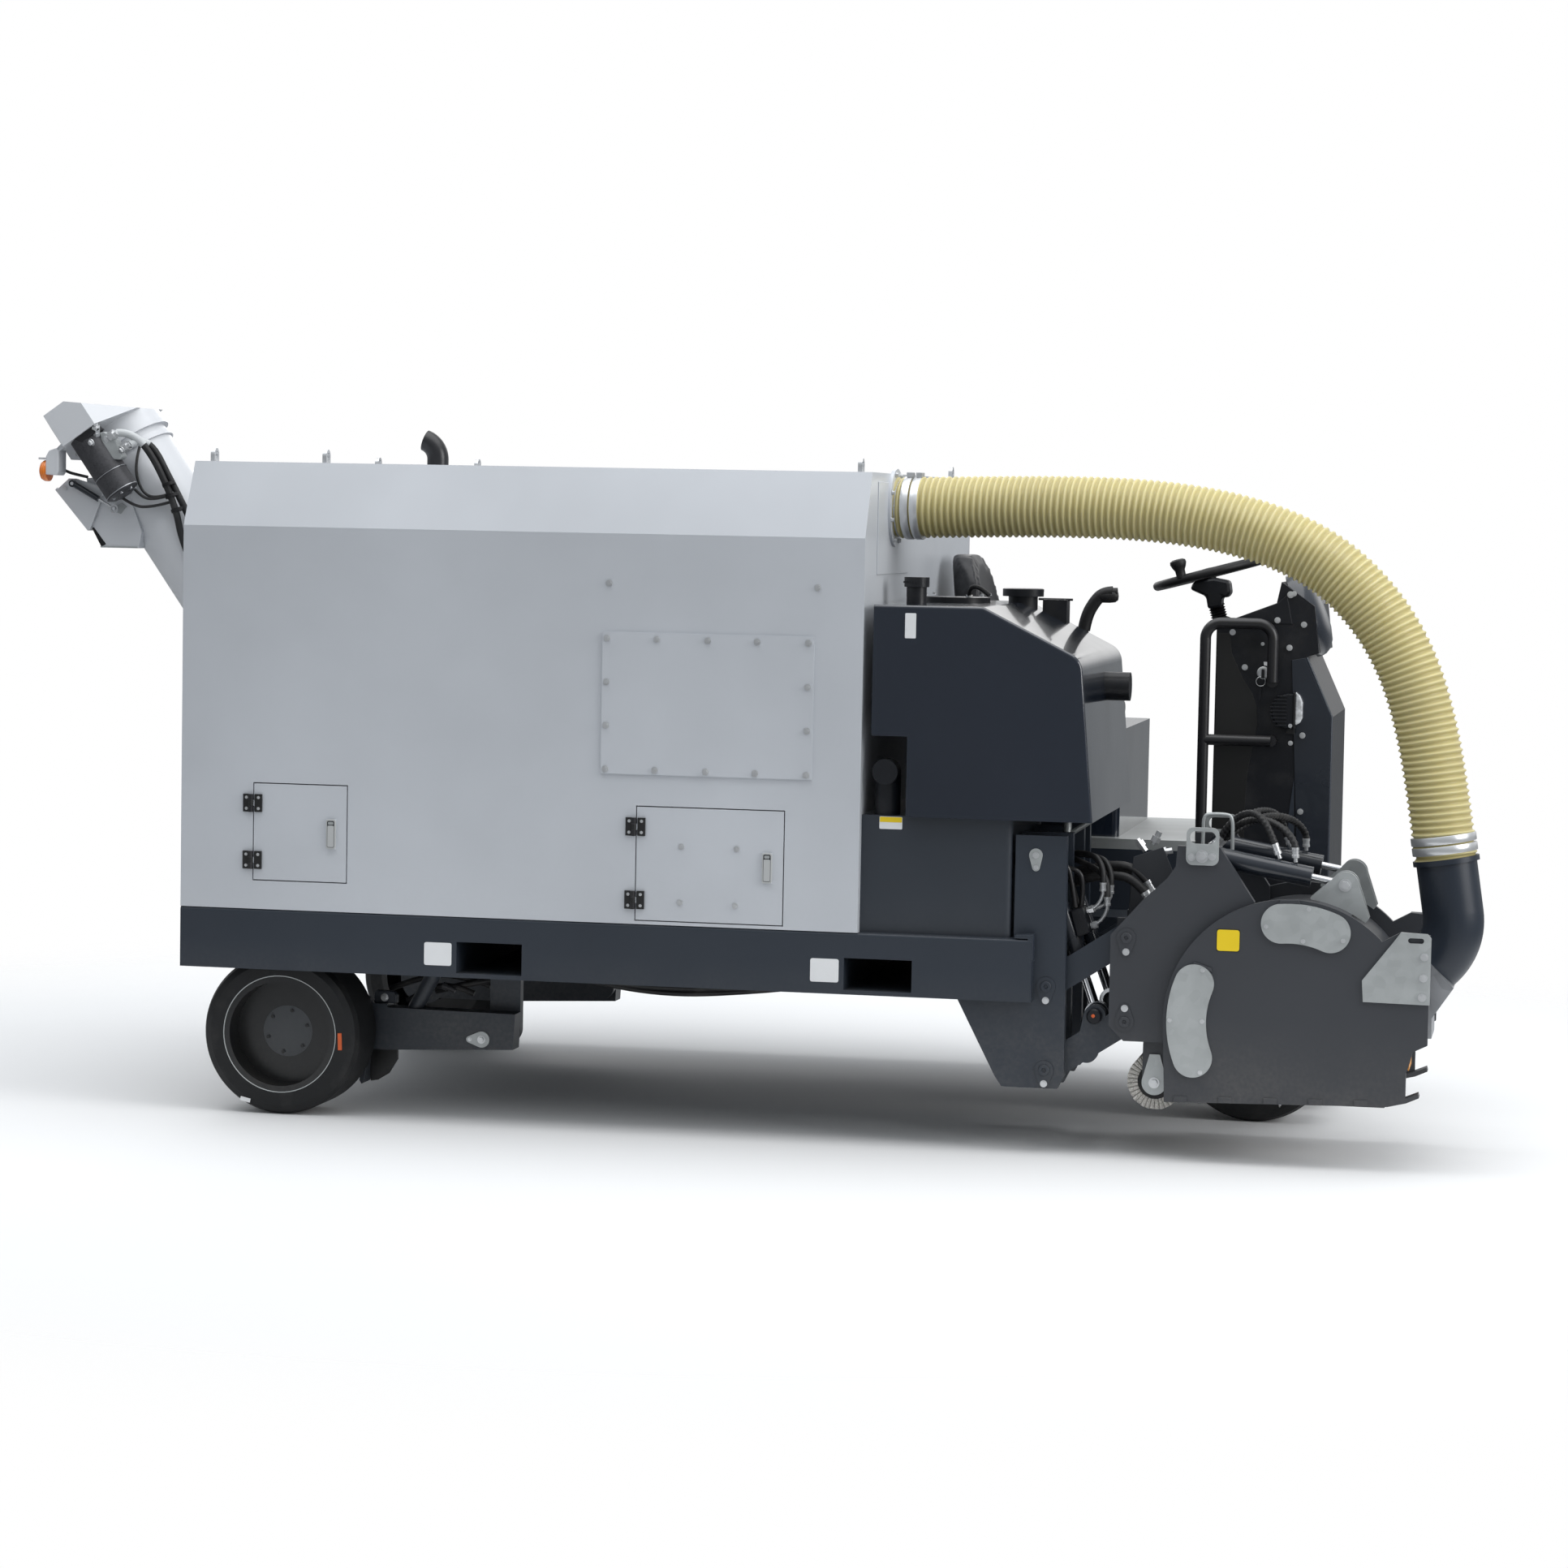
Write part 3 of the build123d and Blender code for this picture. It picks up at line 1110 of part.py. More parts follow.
# Steered front leg with twin wheels, under the operator's platform
leg_axle = at(front_leg_forward, tyre_radius)
leg_y = inboard(front_leg_inboard)
twin_gap = 90.0
leg_ring_radius = 110.0
leg_crown_z = 2 * tyre_radius + 15
leg_plate_half = 35.0
leg_fork_half = 45.0
leg_axle_radius = 25.0
leg_axle_half = 187.0
front_hub_radius = 60.0
front_hub = (-20.0, 34.0)
with BuildPart() as front_leg:
    with Locations((leg_axle[0], leg_y, (leg_crown_z + frame_top_z - subframe_thickness - running_gap) / 2)):
        Cylinder(leg_ring_radius, frame_top_z - subframe_thickness - running_gap - leg_crown_z)
    block(leg_axle[0] - leg_fork_half, leg_axle[0] + leg_fork_half, leg_y - leg_plate_half, leg_y + leg_plate_half,
          tyre_radius - leg_fork_half, leg_crown_z)
    pin(leg_axle, leg_y - leg_axle_half, leg_y + leg_axle_half, leg_axle_radius)
keep(front_leg, "front_leg")

with BuildPart() as front_tyres:
    for y0 in (leg_y - twin_gap / 2 - tyre_width, leg_y + twin_gap / 2):
        tyre_body(leg_axle, y0)
keep(front_tyres, "front_tyres")

with BuildPart() as front_rims:
    for y0, dish in ((leg_y - twin_gap / 2 - tyre_width, rim_dish),
                     (leg_y + twin_gap / 2, tyre_width - rim_dish - rim_disc)):
        rim_body(leg_axle, y0, dish)
        pin(leg_axle, y0 + dish + front_hub[0], y0 + dish + front_hub[1], front_hub_radius)
    pin(leg_axle, near, far, leg_axle_radius + running_gap, mode=Mode.SUBTRACT)
keep(front_rims, "front_rims")

os.makedirs("parts", exist_ok=True)
for name, piece in pieces.items():
    export_step(piece, "parts/" + name + ".step")
low = [min(tuple(piece.bounding_box().min)[axis] for piece in pieces.values()) for axis in range(3)]
high = [max(tuple(piece.bounding_box().max)[axis] for piece in pieces.values()) for axis in range(3)]
print(len(pieces), "pieces from", [round(v, 1) for v in low], "to", [round(v, 1) for v in high])
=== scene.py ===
# %% [markdown]
# # A compact cold planer
# The imported CAD model is the fixed frame of this scene. Every piece that is added here is
# placed in the same metres, so nothing is fitted by eye afterwards. The loader gives the
# solid nodes.

# %% Load the frame
import math

import bmesh
import bpy
from mathutils import Matrix, Vector


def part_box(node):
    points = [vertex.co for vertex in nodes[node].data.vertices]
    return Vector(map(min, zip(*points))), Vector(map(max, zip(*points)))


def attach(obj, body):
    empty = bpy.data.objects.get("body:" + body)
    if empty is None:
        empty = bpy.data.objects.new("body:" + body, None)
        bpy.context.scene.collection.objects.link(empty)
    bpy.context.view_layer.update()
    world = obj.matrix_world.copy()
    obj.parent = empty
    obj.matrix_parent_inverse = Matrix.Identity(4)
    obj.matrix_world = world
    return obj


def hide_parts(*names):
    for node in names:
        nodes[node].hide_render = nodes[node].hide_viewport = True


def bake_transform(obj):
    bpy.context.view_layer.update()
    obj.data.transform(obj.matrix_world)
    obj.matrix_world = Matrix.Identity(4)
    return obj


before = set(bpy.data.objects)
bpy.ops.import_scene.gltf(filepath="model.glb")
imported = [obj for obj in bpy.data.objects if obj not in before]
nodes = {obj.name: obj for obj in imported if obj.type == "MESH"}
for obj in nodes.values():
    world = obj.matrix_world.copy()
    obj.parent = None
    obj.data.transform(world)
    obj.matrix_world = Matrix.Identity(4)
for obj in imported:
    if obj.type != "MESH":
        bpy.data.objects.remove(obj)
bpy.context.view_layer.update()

# %% [markdown]
# Sizes on this machine are easiest to read from two faces: how far forwards of the
# collector body's rear end, and how far in from the near side. This helper turns them into
# the model's own coordinates, so a bolt can be written where a tape measure would find it.

# %% Place points from the body's rear end and near side
BODY_REAR = -1.43
BODY_FRONT = BODY_REAR + 1.941
NEAR_SIDE = -0.91
FAR_SIDE = 0.91


def spot(forward, z, inboard=0.0):
    """Point of the model from metres forwards, above ground and in from the near side."""
    return Vector((BODY_REAR + forward, NEAR_SIDE + inboard, z))


def cos_sin(angle):
    """Cosine and sine of an angle in radians."""
    return math.cos(angle), math.sin(angle)


def round_the_clock(count, shift=0.0):
    """Even angles of a full turn."""
    return [2 * math.pi * (k + shift) / count for k in range(count)]


HEAD_MIDDLE = NEAR_SIDE + 0.3
DRUM = spot(3.113, 0.387, 0.3)

# %% [markdown]
# ## Camera
# The photograph was taken from the right side with a long lens, a little ahead of the
# machine's middle, and the camera was held slightly out of level. The camera is built from
# its viewing direction, and its frame is turned by that small roll.

# %% Camera at the photograph's angle
PHOTO_WIDTH = 1932.0
FOCAL_PIXELS = 4906.0
camera_data = bpy.data.cameras.new("camera")
camera_data.sensor_width = 36.0
camera_data.lens = FOCAL_PIXELS / PHOTO_WIDTH * camera_data.sensor_width
camera = bpy.data.objects.new("camera", camera_data)
bpy.context.collection.objects.link(camera)
yaw, pitch, roll = (math.radians(a) for a in (11.51, 3.87, 1.09))
ahead = Vector((-math.sin(yaw) * math.cos(pitch), math.cos(yaw) * math.cos(pitch), -math.sin(pitch)))
level = Vector((math.cos(yaw), math.sin(yaw), 0.0))
upright = level.cross(ahead)
right = level * math.cos(roll) + upright * math.sin(roll)
up = upright * math.cos(roll) - level * math.sin(roll)
turn = Matrix((right, up, -ahead)).transposed().to_4x4()
camera.matrix_world = Matrix.Translation((2.46, -11.52, 1.72)) @ turn
bpy.context.scene.camera = camera
print("lens", round(camera_data.lens, 1), "mm")

# %% [markdown]
# ## Node trees
# Materials, the sky and the repeated pieces are all node trees. Two helpers write them: one
# sets a socket to a value or joins it to another socket, and one adds a node with its inputs.

# %% Helpers to write node trees
SOCKETS = {tuple: "Color", float: "Float", int: "Int", str: "Geometry", type(None): "Material"}


def give(tree, socket, value):
    """Set a socket to a value, or link it to another node's socket."""
    if isinstance(value, bpy.types.NodeSocket):
        tree.links.new(value, socket)
    elif value is not None:
        socket.default_value = value


def add(tree, kind, *given, settings=(), **named):
    """New node with its own settings, inputs in order, and inputs by name."""
    node = tree.nodes.new(kind)
    for label, value in dict(settings).items():
        setattr(node, label, value)
    for place, value in enumerate(given):
        give(tree, node.inputs[place], value)
    for label, value in named.items():
        give(tree, node.inputs[label.replace("_", " ")], value)
    return node


def new_group(kind, name, outputs, **inputs):
    """Group with these inputs and outputs. An input's value says its kind; None is a material."""
    made = bpy.data.node_groups.new(name, kind)
    for label, value in inputs.items():
        socket = made.interface.new_socket(label.replace("_", " "), in_out="INPUT",
                                           socket_type="NodeSocket" + SOCKETS[type(value)])
        if isinstance(value, (tuple, float, int)):
            socket.default_value = value
    for label, kind_of in outputs.items():
        made.interface.new_socket(label, in_out="OUTPUT", socket_type="NodeSocket" + kind_of)
    return made, made.nodes.new("NodeGroupInput").outputs, made.nodes.new("NodeGroupOutput").inputs


def sum_of(tree, kind, first, second):
    """Math node of this kind on two values or sockets."""
    return add(tree, "ShaderNodeMath", first, second, settings={"operation": kind}).outputs[0]


def reshape(tree, value, low, high, to_low=0.0, to_high=1.0, **settings):
    """Map a value from one range to another, clamped."""
    return add(tree, "ShaderNodeMapRange", settings=settings, Value=value, From_Min=low, From_Max=high,
               To_Min=to_low, To_Max=to_high).outputs["Result"]


def noise(tree, vector, scale, detail=2.0):
    """Noise texture on a vector, giving its factor."""
    return add(tree, "ShaderNodeTexNoise", Vector=vector, Scale=scale, Detail=detail).outputs["Fac"]


def blend_colour(tree, amount, first, second):
    """Mix two colours."""
    node = add(tree, "ShaderNodeMix", amount, settings={"data_type": "RGBA"})
    give(tree, node.inputs[6], first)
    give(tree, node.inputs[7], second)
    return node.outputs[2]


def relief(tree, shader, height, strength, distance=0.001):
    """Bump on a shader from a height."""
    bump = add(tree, "ShaderNodeBump", Strength=strength, Distance=distance, Height=height)
    tree.links.new(bump.outputs["Normal"], shader.inputs["Normal"])


def own_coords(tree):
    """The object's own coordinates."""
    return add(tree, "ShaderNodeTexCoord").outputs["Object"]


def material(name, **values):
    """New material with its tree and its shader."""
    made = bpy.data.materials.new(name)
    made.use_nodes = True
    tree = made.node_tree
    shader = tree.nodes["Principled BSDF"]
    for label, value in values.items():
        shader.inputs[label.replace("_", " ")].default_value = value
    return made, tree, shader


# %% [markdown]
# ## Floor and light
# The floor is a pale plane that takes the soft shadow and fades out a few metres away, so
# no horizon shows. The sky dome is bright overhead and dim low down, like a hall with roof
# lights, and large lamps above, ahead and behind shape the sides. The backdrop's white
# comes from the world as the camera sees it, not from more light. Shiny and clear surfaces
# see the white backdrop too, where it stands behind the machine and above its feet. In
# front of the machine they see the dimmer hall.

# %% Floor, sky and lamps
bpy.context.scene.view_settings.view_transform = "Standard"
FLOOR_REACH = 60.0
floor_coat, tree, shader = material("floor_pale", Base_Color=(0.8, 0.8, 0.8, 1.0), Roughness=0.9)
far = add(tree, "ShaderNodeVectorMath", own_coords(tree), settings={"operation": "LENGTH"}).outputs["Value"]
faded = add(tree, "ShaderNodeMixShader", reshape(tree, far, 2.7, 4.6, interpolation_type="SMOOTHSTEP"),
            shader.outputs[0], add(tree, "ShaderNodeBsdfTransparent").outputs[0])
tree.links.new(faded.outputs[0], tree.nodes["Material Output"].inputs["Surface"])
floor_mesh = bpy.data.meshes.new("floor")
floor_mesh.from_pydata([(x * FLOOR_REACH, y * FLOOR_REACH, -0.001) for x, y in ((-1, -1), (1, -1), (1, 1),
                                                                                (-1, 1))], [], [(0, 1, 2, 3)])
floor = bpy.data.objects.new("floor", floor_mesh)
bpy.context.collection.objects.link(floor)
floor.data.materials.append(floor_coat)

world = bpy.data.worlds.new("studio")
bpy.context.scene.world = world
world.use_nodes = True
tree = world.node_tree
tree.nodes.clear()
outlook = add(tree, "ShaderNodeSeparateXYZ", add(tree, "ShaderNodeTexCoord").outputs["Generated"]).outputs
rays = add(tree, "ShaderNodeLightPath").outputs
glow = add(tree, "ShaderNodeBackground", Color=(0.91, 0.955, 1.0, 1.0),
           Strength=reshape(tree, outlook["Z"], 0.0, 1.0, 0.24, 0.95))
backdrop = add(tree, "ShaderNodeBackground", Color=(1.0, 1.0, 1.0, 1.0), Strength=1.0)
clamped = {"use_clamp": True}
wall = add(tree, "ShaderNodeMath", reshape(tree, outlook["Y"], 0.45, 0.95, interpolation_type="SMOOTHSTEP"),
           reshape(tree, outlook["Z"], -0.02, 0.16, interpolation_type="SMOOTHSTEP"),
           settings={"operation": "MULTIPLY", **clamped})
shiny = add(tree, "ShaderNodeMath", rays["Is Glossy Ray"], rays["Is Transmission Ray"],
            settings={"operation": "ADD", **clamped})
shown = add(tree, "ShaderNodeMath", wall.outputs[0], shiny.outputs[0],
            settings={"operation": "MULTIPLY", **clamped})
seen_by = add(tree, "ShaderNodeMath", rays["Is Camera Ray"], shown.outputs[0],
              settings={"operation": "ADD", **clamped})
mixed = add(tree, "ShaderNodeMixShader", seen_by.outputs[0], glow.outputs[0], backdrop.outputs[0])
add(tree, "ShaderNodeOutputWorld", Surface=mixed.outputs[0])

lamps = [
    # name, place, target, size, watts
    ("lamp_top", (0.0, -0.8, 6.5), (0.0, 0.0, 0.8), (9.0, 6.0), 330.0),
    ("lamp_ahead", (7.5, -2.5, 3.5), (0.6, 0.0, 0.9), (4.0, 4.0), 285.0),
    ("lamp_back", (-3.0, 7.5, 4.5), (0.0, 0.0, 0.9), (6.0, 4.0), 140.0),
]
for name, place, target, size, power in lamps:
    data = bpy.data.lights.new(name, "AREA")
    data.shape = "RECTANGLE"
    data.size, data.size_y = size
    data.energy = power
    made = bpy.data.objects.new(name, data)
    made.location = place
    made.rotation_euler = (Vector(target) - Vector(place)).to_track_quat("-Z", "Y").to_euler()
    bpy.context.collection.objects.link(made)

# %% [markdown]
# ## Shared surface effects
# Paint on a machine is never one flat colour. Three effects are used on many finishes, so
# each is a shader group that is built once: a fine waviness in the coat, dust that settles
# low down and on faces that look up, and the spangle of galvanised steel. A group only
# gives out colours, roughness and heights. The shader itself stays in each material.
#
# Powder coat has a skin like an orange's peel, only much finer, and its gloss drifts a
# little over a panel. Dust thickens towards the ground and clings to faces that look up.

# %% Paint group
SURFACE = {"Colour": "Color", "Roughness": "Float", "Height": "Float"}


def surface_group(name, **inputs):
    """Shader group for a finish, with the object's own coordinates."""
    made, given, out = new_group("ShaderNodeTree", name, SURFACE, **inputs)
    return made, given, out, own_coords(made)


def scaled(tree, vector, by):
    """Colour or vector times a number."""
    return add(tree, "ShaderNodeVectorMath", vector, settings={"operation": "SCALE"}, Scale=by).outputs[0]


paint_group, given, out, coords = surface_group("coated_steel", Colour=(0.5, 0.5, 0.5, 1), Dust=0.3,
                                                Dust_top=0.5, Gloss=0.35, Peel=1.0)
tree = paint_group
height = add(tree, "ShaderNodeSeparateXYZ", coords).outputs["Z"]
facing = add(tree, "ShaderNodeSeparateXYZ", add(tree, "ShaderNodeNewGeometry").outputs["Normal"]).outputs["Z"]
low_part = reshape(tree, height, given["Dust top"], 0.0)
looks_up = reshape(tree, facing, 0.6, 1.0, 0.0, 0.35)
patches = reshape(tree, noise(tree, coords, 7.0, 5.0), 0.38, 0.72)
speckle = reshape(tree, noise(tree, coords, 90.0, 3.0), 0.35, 0.7, 0.4, 1.0)
where = sum_of(tree, "MULTIPLY", sum_of(tree, "ADD", low_part, looks_up), speckle)
where = sum_of(tree, "MULTIPLY", where, reshape(tree, patches, 0.0, 1.0, 0.35, 1.0))
amount = sum_of(tree, "MULTIPLY", where, given["Dust"])
drift = reshape(tree, noise(tree, coords, 1.7, 3.0), 0.3, 0.7, 0.93, 1.05)
give(tree, out["Colour"], blend_colour(tree, amount, scaled(tree, given["Colour"], drift),
                                       (0.3, 0.275, 0.235, 1)))
rough = sum_of(tree, "ADD", given["Gloss"], reshape(tree, noise(tree, coords, 4.0, 4.0), 0.3, 0.7, -0.03,
                                                    0.05))
give(tree, out["Roughness"], sum_of(tree, "ADD", rough, sum_of(tree, "MULTIPLY", amount, 0.4)))
give(tree, out["Height"], sum_of(tree, "MULTIPLY", noise(tree, coords, 260.0, 1.0), given["Peel"]))

# %% [markdown]
# Hot-dip galvanising freezes into flat crystals, each a slightly different grey. A cell
# pattern gives the crystals, and noise blurs them, because on small plates they are faint.

# %% Galvanised group
zinc_group, given, out, coords = surface_group("zinc_spangle", Colour=(0.5, 0.5, 0.5, 1), Cell_size=60.0,
                                               Contrast=0.2, Gloss=0.4)
tree = zinc_group
cells = add(tree, "ShaderNodeTexVoronoi", Vector=coords, Scale=given["Cell size"])
grey = add(tree, "ShaderNodeRGBToBW", cells.outputs["Color"]).outputs[0]
swing = sum_of(tree, "MULTIPLY", sum_of(tree, "SUBTRACT", grey, 0.5), given["Contrast"])
cloud = reshape(tree, noise(tree, coords, 9.0, 4.0), 0.3, 0.7, -0.08, 0.08)
level_up = sum_of(tree, "ADD", sum_of(tree, "ADD", swing, cloud), 1.0)
give(tree, out["Colour"], scaled(tree, given["Colour"], level_up))
give(tree, out["Roughness"], sum_of(tree, "ADD", given["Gloss"], sum_of(tree, "MULTIPLY", swing, 0.6)))
give(tree, out["Height"], noise(tree, coords, 150.0, 2.0))

# %% [markdown]
# Moulded plastic, rubber and vinyl carry a fine grain pressed from the mould, with paler
# scuffs where hands and boots rub.

# %% Moulded grain group
grain_group, given, out, coords = surface_group("moulded_grain", Colour=(0.05, 0.05, 0.05, 1),
                                                Grain_size=400.0, Scuff=0.2, Gloss=0.5)
tree = grain_group
pebbles = add(tree, "ShaderNodeTexVoronoi", Vector=coords, Scale=given["Grain size"])
scuffed = sum_of(tree, "MULTIPLY", reshape(tree, noise(tree, coords, 12.0, 6.0), 0.52, 0.75), given["Scuff"])
give(tree, out["Colour"], blend_colour(tree, scuffed, given["Colour"], (0.22, 0.21, 0.2, 1)))
give(tree, out["Roughness"], sum_of(tree, "ADD", given["Gloss"], sum_of(tree, "MULTIPLY", scuffed, 0.5)))
give(tree, out["Height"], pebbles.outputs["Distance"])

# %% [markdown]
# ## Finishes
# Each finish is one material that uses a group with its own values. The small function
# joins group, bump and shader, and the calls below read like a paint list.

# %% Make a finish from a group
def finish(name, group, colour, values, bump, **shader_values):
    """Material whose colour, roughness and bump come from a shared group."""
    made, tree, shader = material(name, **shader_values)
    source = add(tree, "ShaderNodeGroup", settings={"node_tree": group}, Colour=(*colour, 1), **values)
    for label, socket in (("Colour", "Base Color"), ("Roughness", "Roughness")):
        tree.links.new(source.outputs[label], shader.inputs[socket])
    relief(tree, shader, source.outputs["Height"], bump)
    return made


def paint(name, colour, dust, dust_top, gloss, peel=1.0, bump=0.03, **shader_values):
    """Coated steel of one colour."""
    return finish(name, paint_group, colour, {"Dust": dust, "Dust top": dust_top, "Gloss": gloss,
                                              "Peel": peel}, bump, **shader_values)


def zinc(name, colour, cell, contrast, gloss, metal=0.75, bump=0.05):
    """Zinc or bare steel."""
    return finish(name, zinc_group, colour, {"Cell size": cell, "Contrast": contrast, "Gloss": gloss}, bump,
                  Metallic=metal)


def moulded(name, colour, grain, scuff, gloss, bump=0.15, **shader_values):
    """Plastic, rubber or vinyl with a moulded grain."""
    return finish(name, grain_group, colour, {"Grain size": grain, "Scuff": scuff, "Gloss": gloss}, bump,
                  **shader_values)


satin = {"Coat_Weight": 0.15, "Coat_Roughness": 0.12}
body_white = paint("body_white", (0.53, 0.553, 0.588), 0.18, 0.85, 0.34, **satin)
auger_white = paint("auger_white", (0.62, 0.635, 0.66), 0.2, 0.5, 0.34, **satin)
frame_slate = paint("frame_slate", (0.02, 0.027, 0.039), 0.3, 0.5, 0.42)
tank_slate = paint("tank_slate", (0.026, 0.032, 0.042), 0.2, 0.7, 0.36)
hood_gloss = paint("hood_gloss", (0.011, 0.016, 0.027), 0.06, 0.9, 0.16, peel=0.5, bump=0.015,
                   Coat_Weight=0.8, Coat_Roughness=0.05)
head_dark = paint("head_anthracite", (0.036, 0.039, 0.046), 0.28, 0.4, 0.5)
elbow_dark = paint("elbow_slate", (0.015, 0.021, 0.032), 0.2, 0.5, 0.38)
cylinder_dark = paint("cylinder_slate", (0.016, 0.02, 0.028), 0.15, 0.8, 0.24, Coat_Weight=0.3)
black_steel = paint("black_steel", (0.012, 0.012, 0.014), 0.2, 0.9, 0.34)
galvanised = zinc("galvanised", (0.42, 0.44, 0.44), 45.0, 0.11, 0.42, metal=0.45)
bare_steel = zinc("bare_steel", (0.4, 0.41, 0.43), 25.0, 0.25, 0.34, metal=0.8)
bolt_zinc = zinc("bolt_zinc", (0.64, 0.65, 0.66), 300.0, 0.03, 0.32, metal=0.7, bump=0.0)
drum_steel = zinc("worn_drum_steel", (0.16, 0.15, 0.14), 30.0, 0.5, 0.5, metal=0.7, bump=0.4)
rod_chrome = zinc("rod_chrome", (0.8, 0.81, 0.83), 10.0, 0.04, 0.09, metal=1.0, bump=0.0)
motor_cast = zinc("motor_cast", (0.055, 0.055, 0.06), 220.0, 0.5, 0.5, metal=0.35, bump=0.5)
console_black = moulded("console_black", (0.008, 0.009, 0.012), 500.0, 0.06, 0.36, Specular_IOR_Level=0.35)
grip_black = moulded("grip_black", (0.008, 0.008, 0.009), 650.0, 0.06, 0.5, Specular_IOR_Level=0.35)
vinyl_black = moulded("seat_vinyl", (0.008, 0.0085, 0.011), 420.0, 0.03, 0.4, bump=0.2,
                      Specular_IOR_Level=0.4)
tyre_rubber = moulded("tyre_rubber", (0.0075, 0.008, 0.009), 300.0, 0.07, 0.55, bump=0.2,
                      Specular_IOR_Level=0.35)
rim_black = paint("rim_black", (0.005, 0.0055, 0.0065), 0.07, 0.4, 0.3)
hub_grey = paint("hub_grey", (0.055, 0.06, 0.066), 0.12, 0.4, 0.45)
hose_rubber = moulded("hydraulic_rubber", (0.011, 0.011, 0.012), 500.0, 0.2, 0.5)
sleeve_grey = moulded("sleeve_grey", (0.5, 0.52, 0.53), 300.0, 0.1, 0.5)
label_white = paint("label_white", (0.78, 0.79, 0.8), 0.1, 0.8, 0.4, bump=0.0)
label_yellow = paint("label_yellow", (0.83, 0.6, 0.012), 0.1, 0.6, 0.38, bump=0.0)
label_black = paint("label_black", (0.01, 0.01, 0.01), 0.05, 0.6, 0.4, bump=0.0)
mark_orange = paint("mark_orange", (0.62, 0.1, 0.015), 0.1, 0.6, 0.5, bump=0.0)
wear_orange = paint("wear_orange", (0.55, 0.22, 0.02), 0.3, 0.5, 0.55)
key_grey = paint("switch_grey", (0.45, 0.46, 0.46), 0.1, 0.5, 0.4, bump=0.0)

# %% [markdown]
# The suction hose is a pale polyurethane skin over a buried helix. It lets a little light
# through and yellows with use, so it is a warm cream. Painted shade darkens the valleys
# between the ribs, and a painted highlight lightens their crests.
# The lamps have an amber or a clear ribbed lens, and the brush has pale bristles.

# %% Hose skin, lenses and bristles
hose_skin, tree, shader = material("hose_cream", Subsurface_Weight=0.25,
                                   Subsurface_Radius=(0.02, 0.015, 0.006))
coords = own_coords(tree)
crest = add(tree, "ShaderNodeAttribute", settings={"attribute_name": "rib"}).outputs["Fac"]
# Painted shade and painted highlight: the rib value darkens the valleys and lightens the crests.
rib_shaded_colour = blend_colour(tree, reshape(tree, crest, 0.0, 1.0), (0.47, 0.4, 0.165, 1), (0.64, 0.57, 0.29, 1))
stain = reshape(tree, noise(tree, coords, 6.0, 5.0), 0.45, 0.75, 0.0, 0.22)
give(tree, shader.inputs["Base Color"], blend_colour(tree, stain, rib_shaded_colour, (0.36, 0.31, 0.17, 1)))
give(tree, shader.inputs["Roughness"], reshape(tree, noise(tree, coords, 14.0, 3.0), 0.3, 0.7, 0.36, 0.5))
relief(tree, shader, noise(tree, coords, 120.0, 3.0), 0.1)

amber_lens, tree, shader = material("amber_lens", Roughness=0.15, Coat_Weight=0.6)
coords = own_coords(tree)
flute = add(tree, "ShaderNodeTexWave", Scale=60.0, Vector=coords).outputs["Fac"]
give(tree, shader.inputs["Base Color"], blend_colour(tree, flute, (0.85, 0.17, 0.01, 1), (1.0, 0.3, 0.03, 1)))
relief(tree, shader, flute, 0.4, 0.002)

clear_lens, tree, shader = material("clear_lens", Roughness=0.12, Coat_Weight=0.8)
coords = own_coords(tree)
streaks = reshape(tree, noise(tree, coords, 55.0, 2.0), 0.3, 0.7)
give(tree, shader.inputs["Base Color"], blend_colour(tree, streaks, (0.3, 0.31, 0.32, 1),
                                                     (0.78, 0.8, 0.83, 1)))

brush_grey, tree, shader = material("brush_bristle", Roughness=0.8)
coords = own_coords(tree)
strands = reshape(tree, noise(tree, coords, 240.0, 3.0), 0.35, 0.65)
give(tree, shader.inputs["Base Color"], blend_colour(tree, strands, (0.33, 0.315, 0.29, 1),
                                                     (0.64, 0.62, 0.58, 1)))
print("finishes", len(bpy.data.materials))

# %% [markdown]
# ## Dress the solid nodes
# The CAD solids keep their shape and only take a better finish. One table says which
# finish each node wears.

# %% Give every solid its finish
wears = {
    body_white: "side_walls end_walls roof_panel access_panel rear_door front_door hose_flange",
    auger_white: "auger_tube drive_case discharge_spout spout_flap",
    frame_slate: "side_rails deck_plate cross_members fork_pockets link_columns lower_links upper_links "
                 "rear_arms front_subframe front_leg",
    tank_slate: "lower_tank",
    hood_gloss: "tank_hood seat_base",
    head_dark: "head_frame drum_hood skid_plates",
    elbow_dark: "suction_elbow",
    galvanised: "slot_covers platform head_lugs",
    bare_steel: "suction_mouth",
    bolt_zinc: "lifting_eyes",
    motor_cast: "auger_motor engine_block",
    drum_steel: "milling_drum",
    cylinder_dark: "lift_barrels tilt_barrels strut_barrel",
    rod_chrome: "lift_rods tilt_rods strut_rod",
    black_steel: "door_hinges exhaust_pipe grab_rail",
    console_black: "console_tower steering_wheel work_light tank_fittings",
    grip_black: "hand_controls rear_roller",
    vinyl_black: "seat",
    hose_skin: "suction_hose",
    amber_lens: "beacon",
    tyre_rubber: "rear_tyre_near rear_tyre_far front_tyres",
    rim_black: "rear_rim_near rear_rim_far front_rims",
}
for coat, names in wears.items():
    for name in names.split():
        solid = nodes[name]
        if not solid.material_slots:
            solid.data.materials.append(coat)
        for place in solid.material_slots:
            place.material = coat
dressed = {name for names in wears.values() for name in names.split()}
print("solids without a finish:", sorted(set(nodes) - dressed))

# %% [markdown]
# ## Bolts
# A machine like this is held together by hundreds of hexagon bolts on washers. They repeat,
# so Geometry Nodes place them: a mesh of single points carries for each bolt the way it
# faces and its size, and one small bolt is set on every point.

